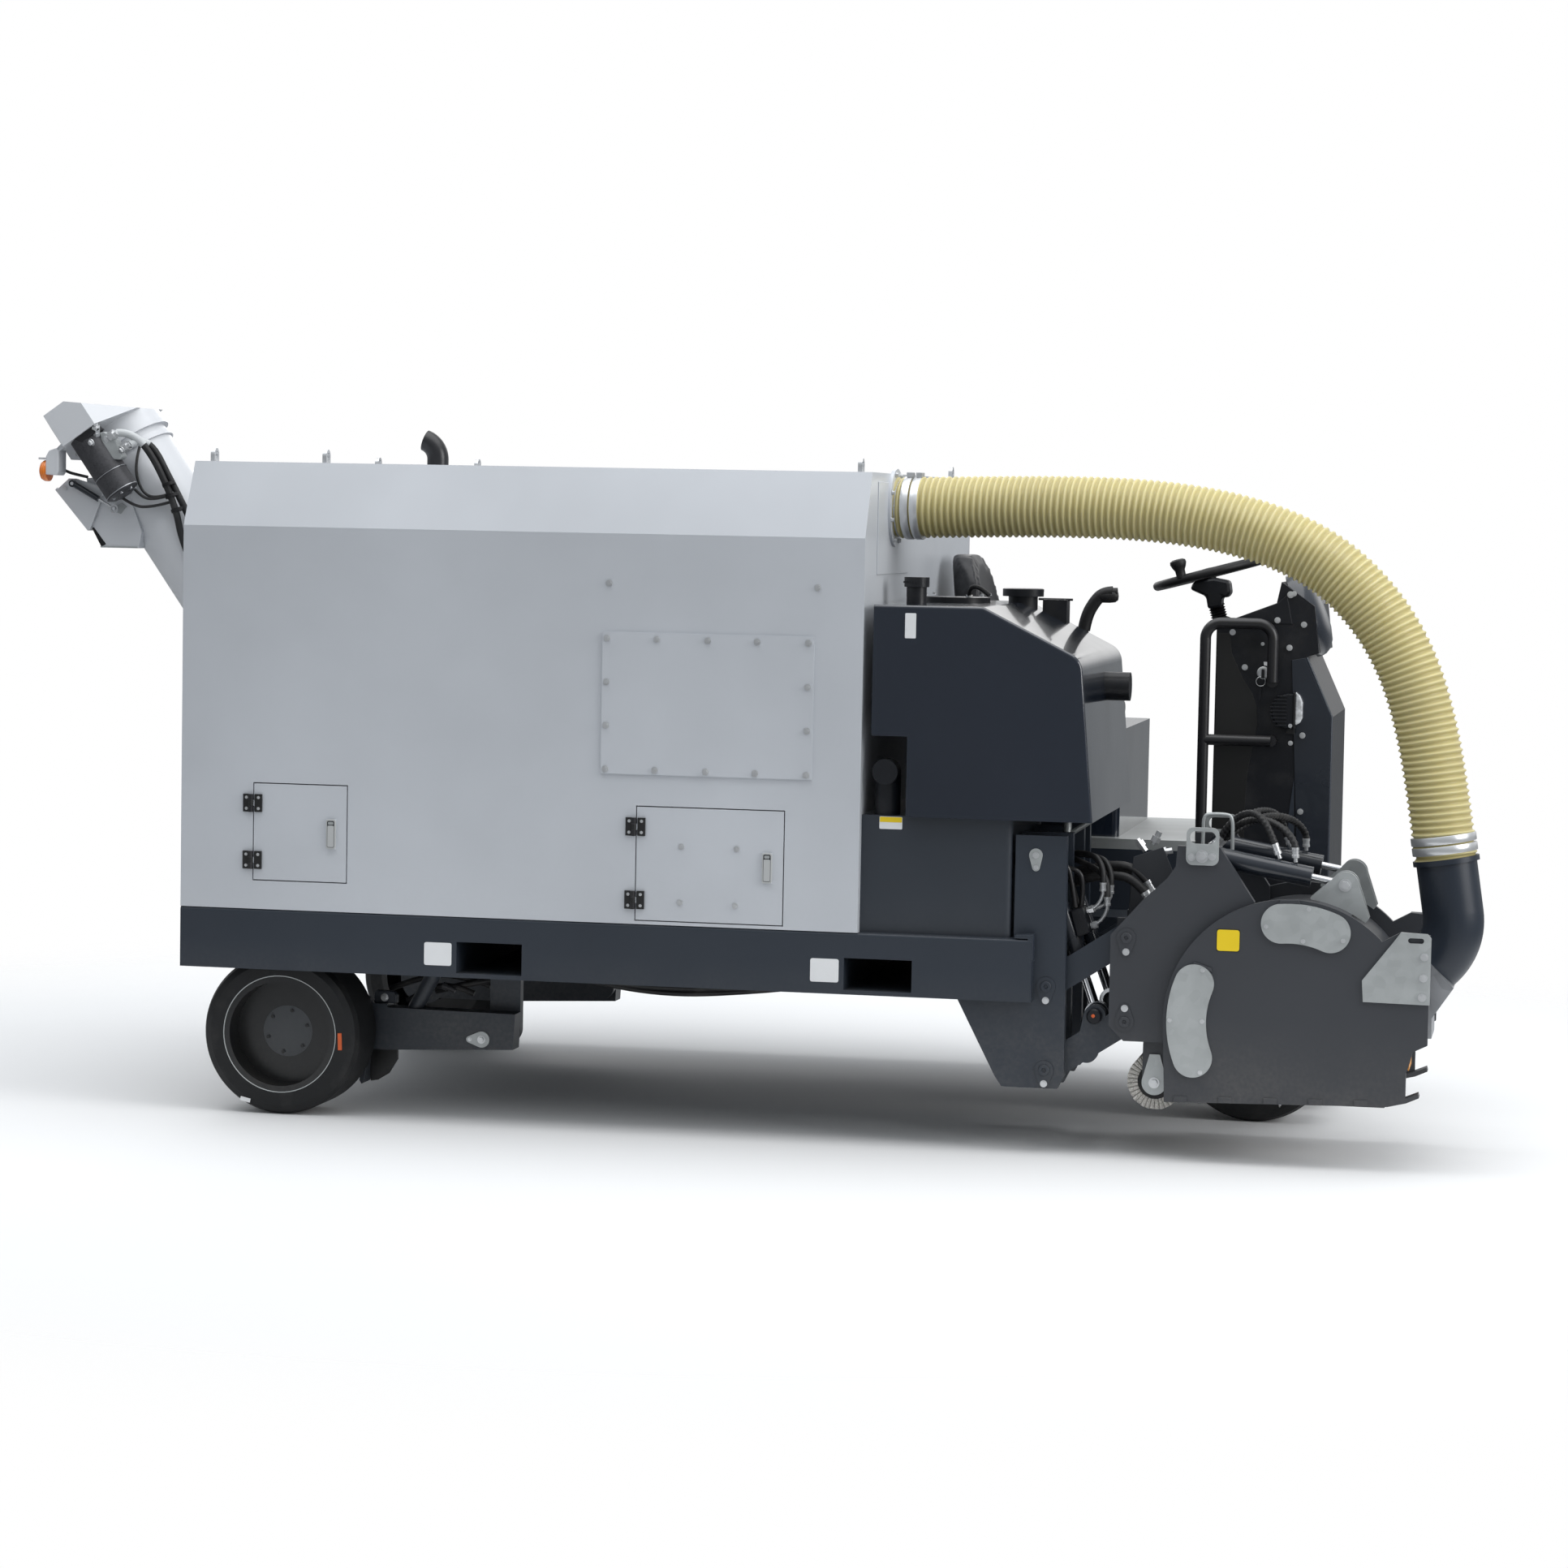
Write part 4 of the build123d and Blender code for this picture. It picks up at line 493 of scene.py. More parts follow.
# %% Tree that sets a bolt on each point
def geometry_group(name, **inputs):
    """Geometry Nodes group with a mesh in, a mesh out and these inputs."""
    return new_group("GeometryNodeTree", name, {"Geometry": "Geometry"}, Geometry="mesh", **inputs)


def stored(tree, name, kind="FLOAT"):
    """Value of a stored attribute."""
    return add(tree, "GeometryNodeInputNamedAttribute", settings={"data_type": kind},
               Name=name).outputs["Attribute"]


def aimed(tree):
    """Turn from the Z axis to each point's own direction."""
    return add(tree, "FunctionNodeAlignRotationToVector", settings={"axis": "Z"},
               Vector=stored(tree, "aim", "FLOAT_VECTOR")).outputs["Rotation"]


def coated(tree, out, geometry, coat):
    """Realize instances, set the material and give out the mesh."""
    real = add(tree, "GeometryNodeRealizeInstances", Geometry=geometry).outputs["Geometry"]
    give(tree, out["Geometry"], add(tree, "GeometryNodeSetMaterial", Geometry=real,
                                    Material=coat).outputs["Geometry"])


def cylinder(tree, sides, radius, depth, middle):
    """Short upright cylinder with its middle at this height."""
    node = add(tree, "GeometryNodeMeshCylinder", Vertices=sides, Radius=radius, Depth=depth)
    return add(tree, "GeometryNodeTransform", Geometry=node.outputs["Mesh"],
               Translation=(0, 0, middle)).outputs["Geometry"]


def on_points(tree, given, out, coat, **values):
    """Set an instance on every point, with this finish."""
    placed = add(tree, "GeometryNodeInstanceOnPoints", Points=given["Geometry"], **values)
    coated(tree, out, placed.outputs["Instances"], coat)


bolt_tree, given, out = geometry_group("bolts_on_points", Head_sides=6, Metal=None)
tree = bolt_tree
whole = tree.nodes.new("GeometryNodeJoinGeometry")
# washer, raised face and head, in head widths
for sides, radius, depth, middle in ((16, 0.72, 0.12, 0.06), (12, 0.36, 0.06, 0.61),
                                     (given["Head sides"], 0.5, 0.46, 0.35)):
    give(tree, whole.inputs["Geometry"], cylinder(tree, sides, radius, depth, middle))
on_points(tree, given, out, given["Metal"], Instance=whole.outputs["Geometry"], Rotation=aimed(tree),
          Scale=stored(tree, "size"))


def new_object(name, data, body=None):
    """Object in the scene, riding on a body if one is named."""
    made = bpy.data.objects.new(name, data)
    bpy.context.collection.objects.link(made)
    if body:
        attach(made, body)
    return made


def settled(made):
    """Mesh of an object as its modifiers leave it."""
    return bpy.data.meshes.new_from_object(made.evaluated_get(bpy.context.evaluated_depsgraph_get()))


def made_real(source, name, group, body=None, slot=None, **values):
    """Run a Geometry Nodes group on an object and keep the result as a plain mesh."""
    layer = source.modifiers.new(name, "NODES")
    layer.node_group = group
    sockets = {item.name: item.identifier for item in group.interface.items_tree
               if item.item_type == "SOCKET" and item.in_out == "INPUT"}
    for label, value in values.items():
        layer[sockets[label.replace("_", " ")]] = value
    mesh = settled(source)
    source.modifiers.remove(layer)
    bpy.data.objects.remove(source)
    return new_object(name, mesh, body)


def point_cloud(name, places, **columns):
    """Object of single points that carry these directions or sizes."""
    mesh = bpy.data.meshes.new(name)
    mesh.from_pydata(places, [], [])
    for label, values in columns.items():
        kind, key = ("FLOAT", "value") if isinstance(values[0], float) else ("FLOAT_VECTOR", "vector")
        layer = mesh.attributes.new(label, kind, "POINT")
        for item, value in zip(layer.data, values):
            setattr(item, key, value)
    return new_object(name + "_points", mesh)


AIMS = {"near": (0, -1, 0), "far": (0, 1, 0), "front": (1, 0, 0), "rear": (-1, 0, 0), "up": (0, 0, 1)}


def bolts(name, rows, sides=6, body="chassis", metal=bolt_zinc):
    """Bolts on one body from rows of place, facing and head size in metres."""
    places, facings, sizes = zip(*rows)
    source = point_cloud(name, places, aim=[AIMS[way] if isinstance(way, str) else way for way in facings],
                         size=sizes)
    return made_real(source, name, bolt_tree, body, "eye_steel", Head_sides=sides, Metal=metal)


def near_bolts(name, points, size, inboard=0.0, sides=6, body="chassis"):
    """Bolts of one size that face the near side, from rows of forwards and height."""
    return bolts(name, [(spot(x, z, inboard), "near", size) for x, z in points], sides, body)


# %% [markdown]
# The side cover panel has five bolts along its top and bottom and two down each end. The
# service door has four that hold a stiffener, and two spare bolts sit above the cover.

# %% Bolts of the collector body
panel_rows = [(x, z) for z in (1.373, 1.014) for x in (1.228, 1.368, 1.511, 1.649, 1.791)]
panel_rows += [(x, z) for z in (1.253, 1.134) for x in (1.228, 1.791)]
near_bolts("cover_panel_bolts", panel_rows, 0.013, -0.006)
near_bolts("spare_bolts", [(1.23, 1.524), (1.813, 1.524)], 0.013)
near_bolts("front_door_bolts", [(1.446, 0.806), (1.601, 0.805), (1.444, 0.652), (1.599, 0.649)], 0.012,
           body="front_door")


# %% [markdown]
# ## Boxes, plates and tubes
# Small parts that do not repeat are drawn straight into a mesh. A plate is an outline in
# the side view with a thickness, softened by a small bevel so that its edges catch light.

# %% Helpers for plates, rounded boxes and tubes
def to_mesh(name, shape):
    """Keep a bmesh as a mesh."""
    mesh = bpy.data.meshes.new(name)
    shape.to_mesh(mesh)
    shape.free()
    return mesh


def smooth_sides(made):
    """Shade every face of an object smooth."""
    for side in made.data.polygons:
        side.use_smooth = True


def mesh_piece(name, builder, coat, bevel=0.0, smooth=False, body="chassis", slot=None):
    """Object from a bmesh-building function, with a soft edge, riding on a body."""
    shape = bmesh.new()
    builder(shape)
    bmesh.ops.remove_doubles(shape, verts=shape.verts, dist=1e-6)
    bmesh.ops.recalc_face_normals(shape, faces=shape.faces)
    if bevel:
        edges = [e for e in shape.edges if e.is_manifold and e.calc_face_angle(0) > 0.5]
        bmesh.ops.bevel(shape, geom=edges, offset=bevel, segments=2, affect="EDGES", profile=0.5)
    for side in shape.faces:
        side.smooth = smooth
    made = new_object(name, to_mesh(name, shape), body)
    made.data.materials.append(coat)
    return made


def add_prism(shape, outline, offset):
    """Closed prism from a flat outline of 3-D points and an offset vector."""
    low = [shape.verts.new(p) for p in outline]
    high = [shape.verts.new(Vector(p) + Vector(offset)) for p in outline]
    shape.faces.new(low)
    shape.faces.new(reversed(high))
    for i in range(len(low)):
        j = (i + 1) % len(low)
        shape.faces.new((low[j], low[i], high[i], high[j]))


def prisms(name, rows, coat, bevel=0.0, **where):
    """Prisms from rows of outline and offset."""
    def build(shape):
        for outline, offset in rows:
            add_prism(shape, outline, offset)
    return mesh_piece(name, build, coat, bevel, **where)


def level_run(points, inboard=0.0):
    """Points of one upright plane, from rows of forwards and height."""
    return [spot(x, z, inboard) for x, z in points]


def side_plate(name, points, inboard, thickness, coat, bevel=0.0015, **where):
    """Plate drawn in the side view as forwards and height in metres."""
    return prisms(name, [(level_run(points, inboard), (0, thickness, 0))], coat, bevel, **where)


def boxes(name, rows, coat, bevel=0.0015, **where):
    """Boxes from rows of lowest and highest corner."""
    return prisms(name, [([(a[0], a[1], a[2]), (b[0], a[1], a[2]), (b[0], b[1], a[2]), (a[0], b[1], a[2])],
                          (0, 0, b[2] - a[2])) for a, b in rows], coat, bevel, **where)


def ring_points(centre, axis, radius, sides):
    """Points of a circle about an axis."""
    axis = Vector(axis).normalized()
    first = axis.orthogonal().normalized()
    second = axis.cross(first)
    return [Vector(centre) + first * radius * math.cos(a) + second * radius * math.sin(a)
            for a in round_the_clock(sides)]


def capped(*rings):
    """Profile whose two ends close on the axis."""
    return [(rings[0][0], 0.0), *rings, (rings[-1][0], 0.0)]


def add_turned(shape, centre, axis, profile, sides=32):
    """Turned shape about an axis from rows of distance along it and radius."""
    axis = Vector(axis).normalized()
    rings = []
    closed = profile[0] == profile[-1] and profile[0][1] > 0
    for along, radius in profile[:-1] if closed else profile:
        here = Vector(centre) + axis * along
        places = ring_points(here, axis, radius, sides) if radius > 0 else [here]
        rings.append([shape.verts.new(p) for p in places])
    for a, b in zip(rings, rings[1:] + rings[:1] if closed else rings[1:]):
        for i in range(sides):
            j = (i + 1) % sides
            corners = list(dict.fromkeys([a[i % len(a)], a[j % len(a)], b[j % len(b)], b[i % len(b)]]))
            if len(corners) > 2:
                shape.faces.new(corners)
    for ring in () if closed else (rings[0], rings[-1]):
        if len(ring) > 1:
            shape.faces.new(ring)


def crease(made, angle):
    """Keep edges sharper than this angle crisp on a smooth mesh."""
    shape = bmesh.new()
    shape.from_mesh(made.data)
    for edge in shape.edges:
        if edge.is_manifold and edge.calc_face_angle(0) > math.radians(angle):
            edge.smooth = False
    shape.to_mesh(made.data)
    shape.free()


def turned(name, rows, coat, sides=32, smooth_angle=35, **where):
    """Turned pieces from rows of centre, axis and profile."""
    def build(shape):
        for centre, axis, profile in rows:
            add_turned(shape, centre, axis, profile, sides)
    made = mesh_piece(name, build, coat, smooth=True, **where)
    crease(made, smooth_angle)
    return made


def line_object(name, points, order=4, fineness=16):
    """Curve through points: straight lines for order 2, or else a smooth run."""
    curve = bpy.data.curves.new(name, "CURVE")
    curve.dimensions = "3D"
    curve.resolution_u = fineness
    run = curve.splines.new("NURBS" if order > 2 else "POLY")
    run.points.add(len(points) - 1)
    for place, point in zip(run.points, points):
        place.co = (*point, 1)
    if order > 2:
        run.order_u = order
        run.use_endpoint_u = True
    return new_object(name + "_line", curve)


def tube(name, points, radius, coat, sides=10, order=3, body="chassis", slot=None):
    """Round tube through points, ends closed, on a body or on none."""
    holder = line_object(name, points, order, 8)
    holder.data.bevel_depth = radius
    holder.data.bevel_resolution = max(1, sides // 4)
    holder.data.use_fill_caps = True
    mesh = settled(holder)
    bpy.data.objects.remove(holder)
    made = new_object(name, mesh, body)
    mesh.materials.clear()
    mesh.materials.append(coat)
    smooth_sides(made)
    return made


def tubes(name, lines, radius, coat, sides=10, **where):
    """Numbered tubes from lists of forwards, height and inboard."""
    for index, line in enumerate(lines):
        tube(f"{name}_{index + 1}", [spot(*point) for point in line], radius, coat, sides, **where)

# %% [markdown]
# ## Suction hose
# Milled dust is drawn up a wide ribbed hose into the collector. Its ribs are one long
# helix, so the skin is made by rule: a tube is swept along the route, and every point is
# pushed outwards by a wave whose phase runs along the hose and once round it for each turn.

# %% Tree for a hose with a helical rib
def noted(tree, geometry, name, value):
    """Store a number on a geometry under a name."""
    return add(tree, "GeometryNodeStoreNamedAttribute", settings={"data_type": "FLOAT"}, Geometry=geometry,
               Name=name, Value=value).outputs["Geometry"]


hose_tree, given, out = geometry_group("helical_hose", Radius=0.08, Pitch=0.018, Rib_height=0.006,
                                       Steps=0.0025, Skin=None)
tree = hose_tree
even = add(tree, "GeometryNodeResampleCurve", settings={"mode": "LENGTH"}, Curve=given["Geometry"],
           Length=given["Steps"])
line = noted(tree, even.outputs["Curve"], "along", add(tree, "GeometryNodeSplineParameter").outputs["Length"])
loop = add(tree, "GeometryNodeCurvePrimitiveCircle", Resolution=44, Radius=given["Radius"]).outputs["Curve"]
loop = noted(tree, loop, "around", add(tree, "GeometryNodeSplineParameter").outputs["Factor"])
skin = add(tree, "GeometryNodeCurveToMesh", Curve=line, Profile_Curve=loop).outputs["Mesh"]
phase = sum_of(tree, "ADD", sum_of(tree, "DIVIDE", stored(tree, "along"), given["Pitch"]),
               stored(tree, "around"))
swing = sum_of(tree, "COSINE", sum_of(tree, "MULTIPLY", phase, 2 * math.pi), 0.0)
crest = sum_of(tree, "POWER", sum_of(tree, "MULTIPLY", sum_of(tree, "ADD", swing, 1.0), 0.5), 1.6)
push = scaled(tree, add(tree, "GeometryNodeInputNormal").outputs["Normal"],
              sum_of(tree, "MULTIPLY", crest, given["Rib height"]))
# The crest is also stored as the rib attribute, which the hose material uses for painted shade in the valleys
# and a painted highlight on the crests.
pushed = add(tree, "GeometryNodeSetPosition", Geometry=noted(tree, skin, "rib", crest), Offset=push)
coated(tree, out, pushed.outputs["Geometry"], given["Skin"])


def ribbed_hose(name, points, fineness, coat, body=None, slot=None, **values):
    """Hose with a helical rib along points."""
    made = made_real(line_object(name, points, fineness=fineness), name, hose_tree, body, slot, Skin=coat,
                     **values)
    smooth_sides(made)
    return made


# %% [markdown]
# The route leaves the duct straight, rises a hand's width, and comes down in front of the
# milling head. It also drifts from the duct's place towards the head's middle.

# %% Sweep the hose and fit its clamps
def hose_point(forward, z):
    """Point of the hose's upright plane, which drifts inwards to the head's middle."""
    share = (forward - 1.959) / (3.505 - 1.959)
    return spot(forward, z, 0.43 + (0.3 - 0.43) * share)


HOSE_ROUTE = [hose_point(x, z) for x, z in (
    (1.953, 1.745), (2.3, 1.756), (2.64, 1.762), (2.96, 1.715), (3.2, 1.61), (3.375, 1.4), (3.45, 1.16),
    (3.478, 1.0), (3.505, 0.825))]
suction_hose = ribbed_hose("suction_hose_skin", HOSE_ROUTE, 40, hose_skin, Radius=0.0795, Pitch=0.0182,
                           Rib_height=0.0065, Steps=0.0023)
wall = suction_hose.modifiers.new("wall", "SOLIDIFY")
wall.thickness = 0.004
wall.offset = -1
print("hose triangles", 2 * len(suction_hose.data.polygons))
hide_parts("suction_hose")
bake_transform(suction_hose)


def band(name, centre, axis, radius, body, width=0.022):
    """Steel hose clamp."""
    axis = Vector(axis).normalized()
    turned(name, [(centre - axis * width / 2, axis, [(0, radius - 0.004), (0, radius),
                                                     (0.002, radius + 0.0012),
                                                     (width - 0.002, radius + 0.0012), (width, radius),
                                                     (width, radius - 0.004)])], bolt_zinc, sides=48,
           body=body)


hose_end = HOSE_ROUTE[-1]
hose_down = (hose_end - HOSE_ROUTE[-2]).normalized()
CLAMPS = (0.039, 0.066)
for index, along in enumerate(CLAMPS):
    band(f"upper_clamp_{index + 1}", spot(1.951 + along, 1.7455, 0.4305 - along * 0.08), (1, -0.08, 0.02),
         0.0875, "chassis")
    band(f"lower_clamp_{index + 1}", hose_end - hose_down * (along - 0.014), hose_down, 0.0875, "hose")
boxes("upper_clamp_screws", [(spot(1.942 + along, 1.831, 0.4), spot(1.96 + along, 1.845, 0.44))
                             for along in CLAMPS], bolt_zinc)
flange = [spot(1.9515, 1.745, 0.43) + Vector((0, math.cos(a), math.sin(a))) * 0.098
          for a in (math.radians(20 + 45 * k) for k in range(8))]
bolts("hose_flange_bolts", [(place, "front", 0.011) for place in flange])

# %% [markdown]
# ## Signs
# The machine's labels stay blank here. Each is a thin sheet with rounded corners, an edge
# colour, and one or more bands of colour laid over it.

# %% Blank labels
def rounded(wide, high, radius, steps=4):
    """Outline of a rounded rectangle about its own middle."""
    middles = [(wide / 2 - radius, high / 2 - radius, 0), (radius - wide / 2, high / 2 - radius, 90),
               (radius - wide / 2, radius - high / 2, 180), (wide / 2 - radius, radius - high / 2, 270)]
    outline = []
    for x, z, start in middles:
        for k in range(steps + 1):
            cosine, sine = cos_sin(math.radians(start + 90 * k / steps))
            outline.append((x + radius * cosine, z + radius * sine))
    return outline


def sign(name, centre, wide, high, edge, bands, margin=0.0025, body="chassis"):
    """Blank label that faces the near side: an edge colour and bands from low to high share."""
    shape = bmesh.new()
    add_prism(shape, [centre + Vector((x, 0, z)) for x, z in rounded(wide, high, 0.09 * min(wide, high))],
              (0, -0.0006, 0))
    for index, (low, top, _) in enumerate(bands):
        before = set(shape.faces)
        tall = (top - low) * (high - 2 * margin)
        middle = centre + Vector((0, -0.0006, (low + top - 1) / 2 * (high - 2 * margin)))
        add_prism(shape, [middle + Vector((x, 0, z)) for x, z in rounded(wide - 2 * margin, tall,
                                                                         0.12 * min(wide, tall))],
                  (0, -0.0003, 0))
        for side in set(shape.faces) - before:
            side.material_index = index + 1
    bmesh.ops.recalc_face_normals(shape, faces=shape.faces)
    mesh = to_mesh(name, shape)
    for coat in (edge, *(band_coat for _, _, band_coat in bands)):
        mesh.materials.append(coat)
    new_object(name, mesh, body)


one_band = [(0.0, 1.0, label_white)]
sign("frame_label_rear", spot(0.7555, 0.482), 0.079, 0.064, label_white, one_band)
sign("frame_label_front", spot(1.8515, 0.482), 0.079, 0.064, label_white, one_band)
sign("skid_label", spot(2.9475, 0.607, 0.008), 0.064, 0.061, label_black, [(0.0, 1.0, label_yellow)], 0.002,
     "skids")
sign("tank_label", spot(2.022, 0.889, 0.03), 0.063, 0.034, label_white,
     [(0.56, 1.0, label_yellow), (0.0, 0.52, label_white)], 0.001)
sign("hood_label", spot(2.07, 1.427), 0.03, 0.068, label_white,
     [(0.68, 1.0, label_white), (0.35, 0.65, label_white), (0.0, 0.32, label_white)], 0.0012)

# %% [markdown]
# ## Pin keepers
# Every pin of the linkage is held by a drop-shaped plate: its round end sits over the pin
# and one bolt goes through its narrow end. The same plate is drawn for near and far side.

# %% Keeper plates and their bolts
def drop_outline(centre, radius, tail, tail_radius, steps=14):
    """Outline of a drop in the side view: round about the centre, narrow about the tail."""
    reach = math.hypot(tail[0] - centre[0], tail[1] - centre[1])
    heading = math.atan2(tail[1] - centre[1], tail[0] - centre[0])
    open_half = math.acos((radius - tail_radius) / reach)
    outline = []
    for middle, size, start, sweep in ((centre, radius, open_half, 2 * math.pi - 2 * open_half),
                                       (tail, tail_radius, -open_half, 2 * open_half)):
        for k in range(steps + 1):
            angle = heading + start + sweep * k / steps
            outline.append((middle[0] + size * math.cos(angle), middle[1] + size * math.sin(angle)))
    return outline


def mirrored(point, middle=HEAD_MIDDLE):
    """The same point on the other side of the head's middle plane, or of another."""
    return Vector((point[0], 2 * middle - point[1], point[2]))


def both(rows, middle=HEAD_MIDDLE):
    """Bolt rows on the near side with their mirror images on the far side."""
    return rows + [(mirrored(place, middle), "far", size) for place, _, size in rows]


def both_drops(outline, thick, middle=HEAD_MIDDLE):
    """Prism rows for a drop-shaped plate on the near side and its mirror image."""
    return [(outline, (0, -thick, 0)), ([mirrored(p, middle) for p in outline], (0, thick, 0))]


PIN_END = [(0, 0.0), (0, 0.0148), (0.0035, 0.0148), (0.0045, 0.0135), (0.0045, 0.0065), (0.001, 0.0045),
           (0.001, 0.0)]
KEEPER_AT = 0.038
keepers = [
    # name, body, pin, bolt
    ("column_upper", "chassis", (2.456, 0.459), (2.456, 0.421)),
    ("column_lower", "chassis", (2.456, 0.231), (2.456, 0.194)),
    ("head_upper", "head", (2.671, 0.6), (2.671, 0.562)),
    ("head_lower", "head", (2.671, 0.372), (2.671, 0.409)),
]
for label, body, pin, bolt in keepers:
    def build(shape, pin=pin, bolt=bolt):
        """Two plates, each with its pin's turned end."""
        for outline, offset in both_drops(level_run(drop_outline(pin, 0.026, bolt, 0.013), KEEPER_AT), 0.003):
            add_prism(shape, outline, offset)
        pin_end = spot(*pin, KEEPER_AT - 0.003)
        for place, way in ((pin_end, -1), (mirrored(pin_end), 1)):
            add_turned(shape, place, (0, way, 0), PIN_END, 24)
    mesh_piece(f"{label}_keepers", build, frame_slate if body == "chassis" else head_dark, body=body,
               slot="frame_slate")
    bolts(f"{label}_keeper_bolts", both([(spot(*bolt, KEEPER_AT - 0.003), "near", 0.0135)]), 20, body)

prisms("cylinder_keepers", both_drops(level_run(drop_outline((2.4205, 0.8145), 0.0185, (2.4215, 0.7815),
                                                             0.0105), KEEPER_AT), 0.003), galvanised, 0.0008)
bolts("cylinder_keeper_bolts", both([(spot(2.4205, 0.8145, 0.035), "near", 0.0125),
                                     (spot(2.4215, 0.7815, 0.035), "near", 0.0095)]), sides=16)

# %% [markdown]
# ## Bolts of the head
# Domed bolts hold the slot covers of the skids. The lugs that carry the tilt cylinders
# have one large bolt for the pin between two small ones.

# %% Bolts of the head and skids
cover_spots = [(180.0, 0.316), (180.0, 0.229), (149.2, 0.269), (210.8, 0.269), (81.5, 0.316), (81.5, 0.229),
               (104.0, 0.27), (59.0, 0.27)]
around_drum = [spot(3.113 + radius * math.cos(math.radians(angle)),
                    0.387 + radius * math.sin(math.radians(angle))) for angle, radius in cover_spots]
bolts("slot_cover_bolts", both([(place, "near", 0.0088) for place in around_drum]), 18, "skids")
head_bolts = [
    # name, body, sides, then forwards, height, inboard and size of each bolt
    ("front_lug_bolts", "skids", 18, [(3.467, 0.584, 0.0, 0.0155), (3.466, 0.528, 0.0, 0.0155),
                                      (3.464, 0.476, 0.0, 0.0155)]),
    ("clevis_bolts", "skids", 6, [(3.249, 0.76, 0.078, 0.024)]),
    ("head_lug_bolts", "head", 6, [(2.842, 0.825, 0.028, 0.0145), (2.897, 0.828, 0.028, 0.0145),
                                   (2.87, 0.828, 0.028, 0.024)]),
    ("roller_bolts", "head", 6, [(2.753, 0.207, 0.063, 0.021)]),
]
for name, body, sides, rows in head_bolts:
    bolts(name, both([(spot(*row[:3]), "near", row[3]) for row in rows]), sides, body)
for label, outline in (("upper", [(3.08, 0.708), (3.083, 0.721), (3.133, 0.723), (3.137, 0.709)]),
                       ("rear", [(2.853, 0.535), (2.858, 0.546), (2.905, 0.531), (2.908, 0.52)])):
    side_plate(f"skid_tabs_{label}", outline, 0.002, 0.006, head_dark, body="skids")
welds = [spot(x, 0.1765 + (x - 2.786) * 0.0252, 0.0085) for x in (2.83, 2.95, 3.07, 3.19, 3.31)]
boxes("sole_tabs", [(p + Vector((-0.018, -0.004, -0.012)), p + Vector((0.018, 0.002, 0.004))) for p in welds],
      head_dark, body="skids")

# %% [markdown]
# ## Rear brush
# What rolls behind the drum is a brush. Its bristles stand in tufts, and each tuft is a
# narrow cone, wider at the tip. Nodes set one on every point of a grid round the core and
# vary its length a little.

# %% Tree that sets tufts or cones on points
tuft_tree, given, out = geometry_group("tufts_on_points", Root=0.004, Tip=0.006, Length=0.034, Vary=0.06,
                                       Sides=7, Bristle=None)
tree = tuft_tree
cone = add(tree, "GeometryNodeMeshCone", Radius_Bottom=given["Root"], Radius_Top=given["Tip"],
           Depth=given["Length"], Vertices=given["Sides"])
vary = add(tree, "FunctionNodeRandomValue", Seed=7)
give(tree, vary.inputs[2], sum_of(tree, "SUBTRACT", 1.0, given["Vary"]))
stretch = add(tree, "ShaderNodeCombineXYZ", 1.0, 1.0, vary.outputs[1]).outputs["Vector"]
on_points(tree, given, out, given["Bristle"], Instance=cone.outputs["Mesh"], Rotation=aimed(tree),
          Scale=stretch)


def tufts(name, rows, coat, body, slot, **values):
    """Cones on points from rows of place and direction."""
    places, ways = zip(*rows)
    made_real(point_cloud(name, places, aim=ways), name, tuft_tree, body, slot, Bristle=coat, **values)


def outward(angle):
    """Direction at this angle in the side view."""
    return Vector((math.cos(angle), 0, math.sin(angle)))


ROLLER = spot(2.753, 0.207, 0.3)
ROLLER_HALF = 0.2145
BRUSH_ROWS, ROUND_BRUSH = 24, 34
rows = []
for row in range(BRUSH_ROWS):
    y = ROLLER[1] - ROLLER_HALF + 0.008 + (2 * ROLLER_HALF - 0.016) * row / (BRUSH_ROWS - 1)
    for way in map(outward, round_the_clock(ROUND_BRUSH, 0.5 * (row % 2))):
        rows.append((Vector((ROLLER[0], y, ROLLER[2])) + way * 0.043, way))
tufts("rear_brush_tufts", rows, brush_grey, "rear_roller", "roller_rubber", Root=0.0042, Tip=0.0066,
      Length=0.0335, Vary=0.05)
half_core = [(0, 0.018), (0, 0.046), (0.004, 0.048), (0.01, 0.044)]
core = turned("rear_brush_core", [(ROLLER - Vector((0, ROLLER_HALF, 0)), (0, 1, 0),
                                   half_core + [(2 * ROLLER_HALF - along, radius)
                                                for along, radius in reversed(half_core)])], grip_black,
              sides=40, body="rear_roller", slot="roller_rubber")
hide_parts("rear_roller")

# %% [markdown]
# ## Picks
# Each steel pick of the drum ends in a small hard-metal cone and sits in a welded block.

# %% Pick tips and holders on the milling drum
pick_rows, holder_rows = [], []
for row in range(16):
    middle = Vector((DRUM[0], HEAD_MIDDLE + (row - 7.5) * 0.028, DRUM[2]))
    for k in range(3):
        way = outward(math.radians(120 * k + 24 * row))
        pick_rows.append((middle + way * 0.2165, way))
        holder_rows.append((middle + way * 0.183, way))
tufts("pick_tips", pick_rows, bare_steel, "milling_drum", "drum_steel", Root=0.0085, Tip=0.002, Length=0.0225,
      Vary=0.0, Sides=12)
tufts("pick_holders", holder_rows, drum_steel, "milling_drum", "drum_steel", Root=0.019, Tip=0.0145,
      Length=0.02, Vary=0.0, Sides=8)

# %% [markdown]
# ## Hydraulic hoses
# Oil reaches the tilt cylinders through hoses in a spiral wrap, so they use the helix tree
# of the suction hose with a small radius. Crimped ferrules join them to the ports. All of
# these run from one fixed fitting to another, so they are drawn as plumbing.

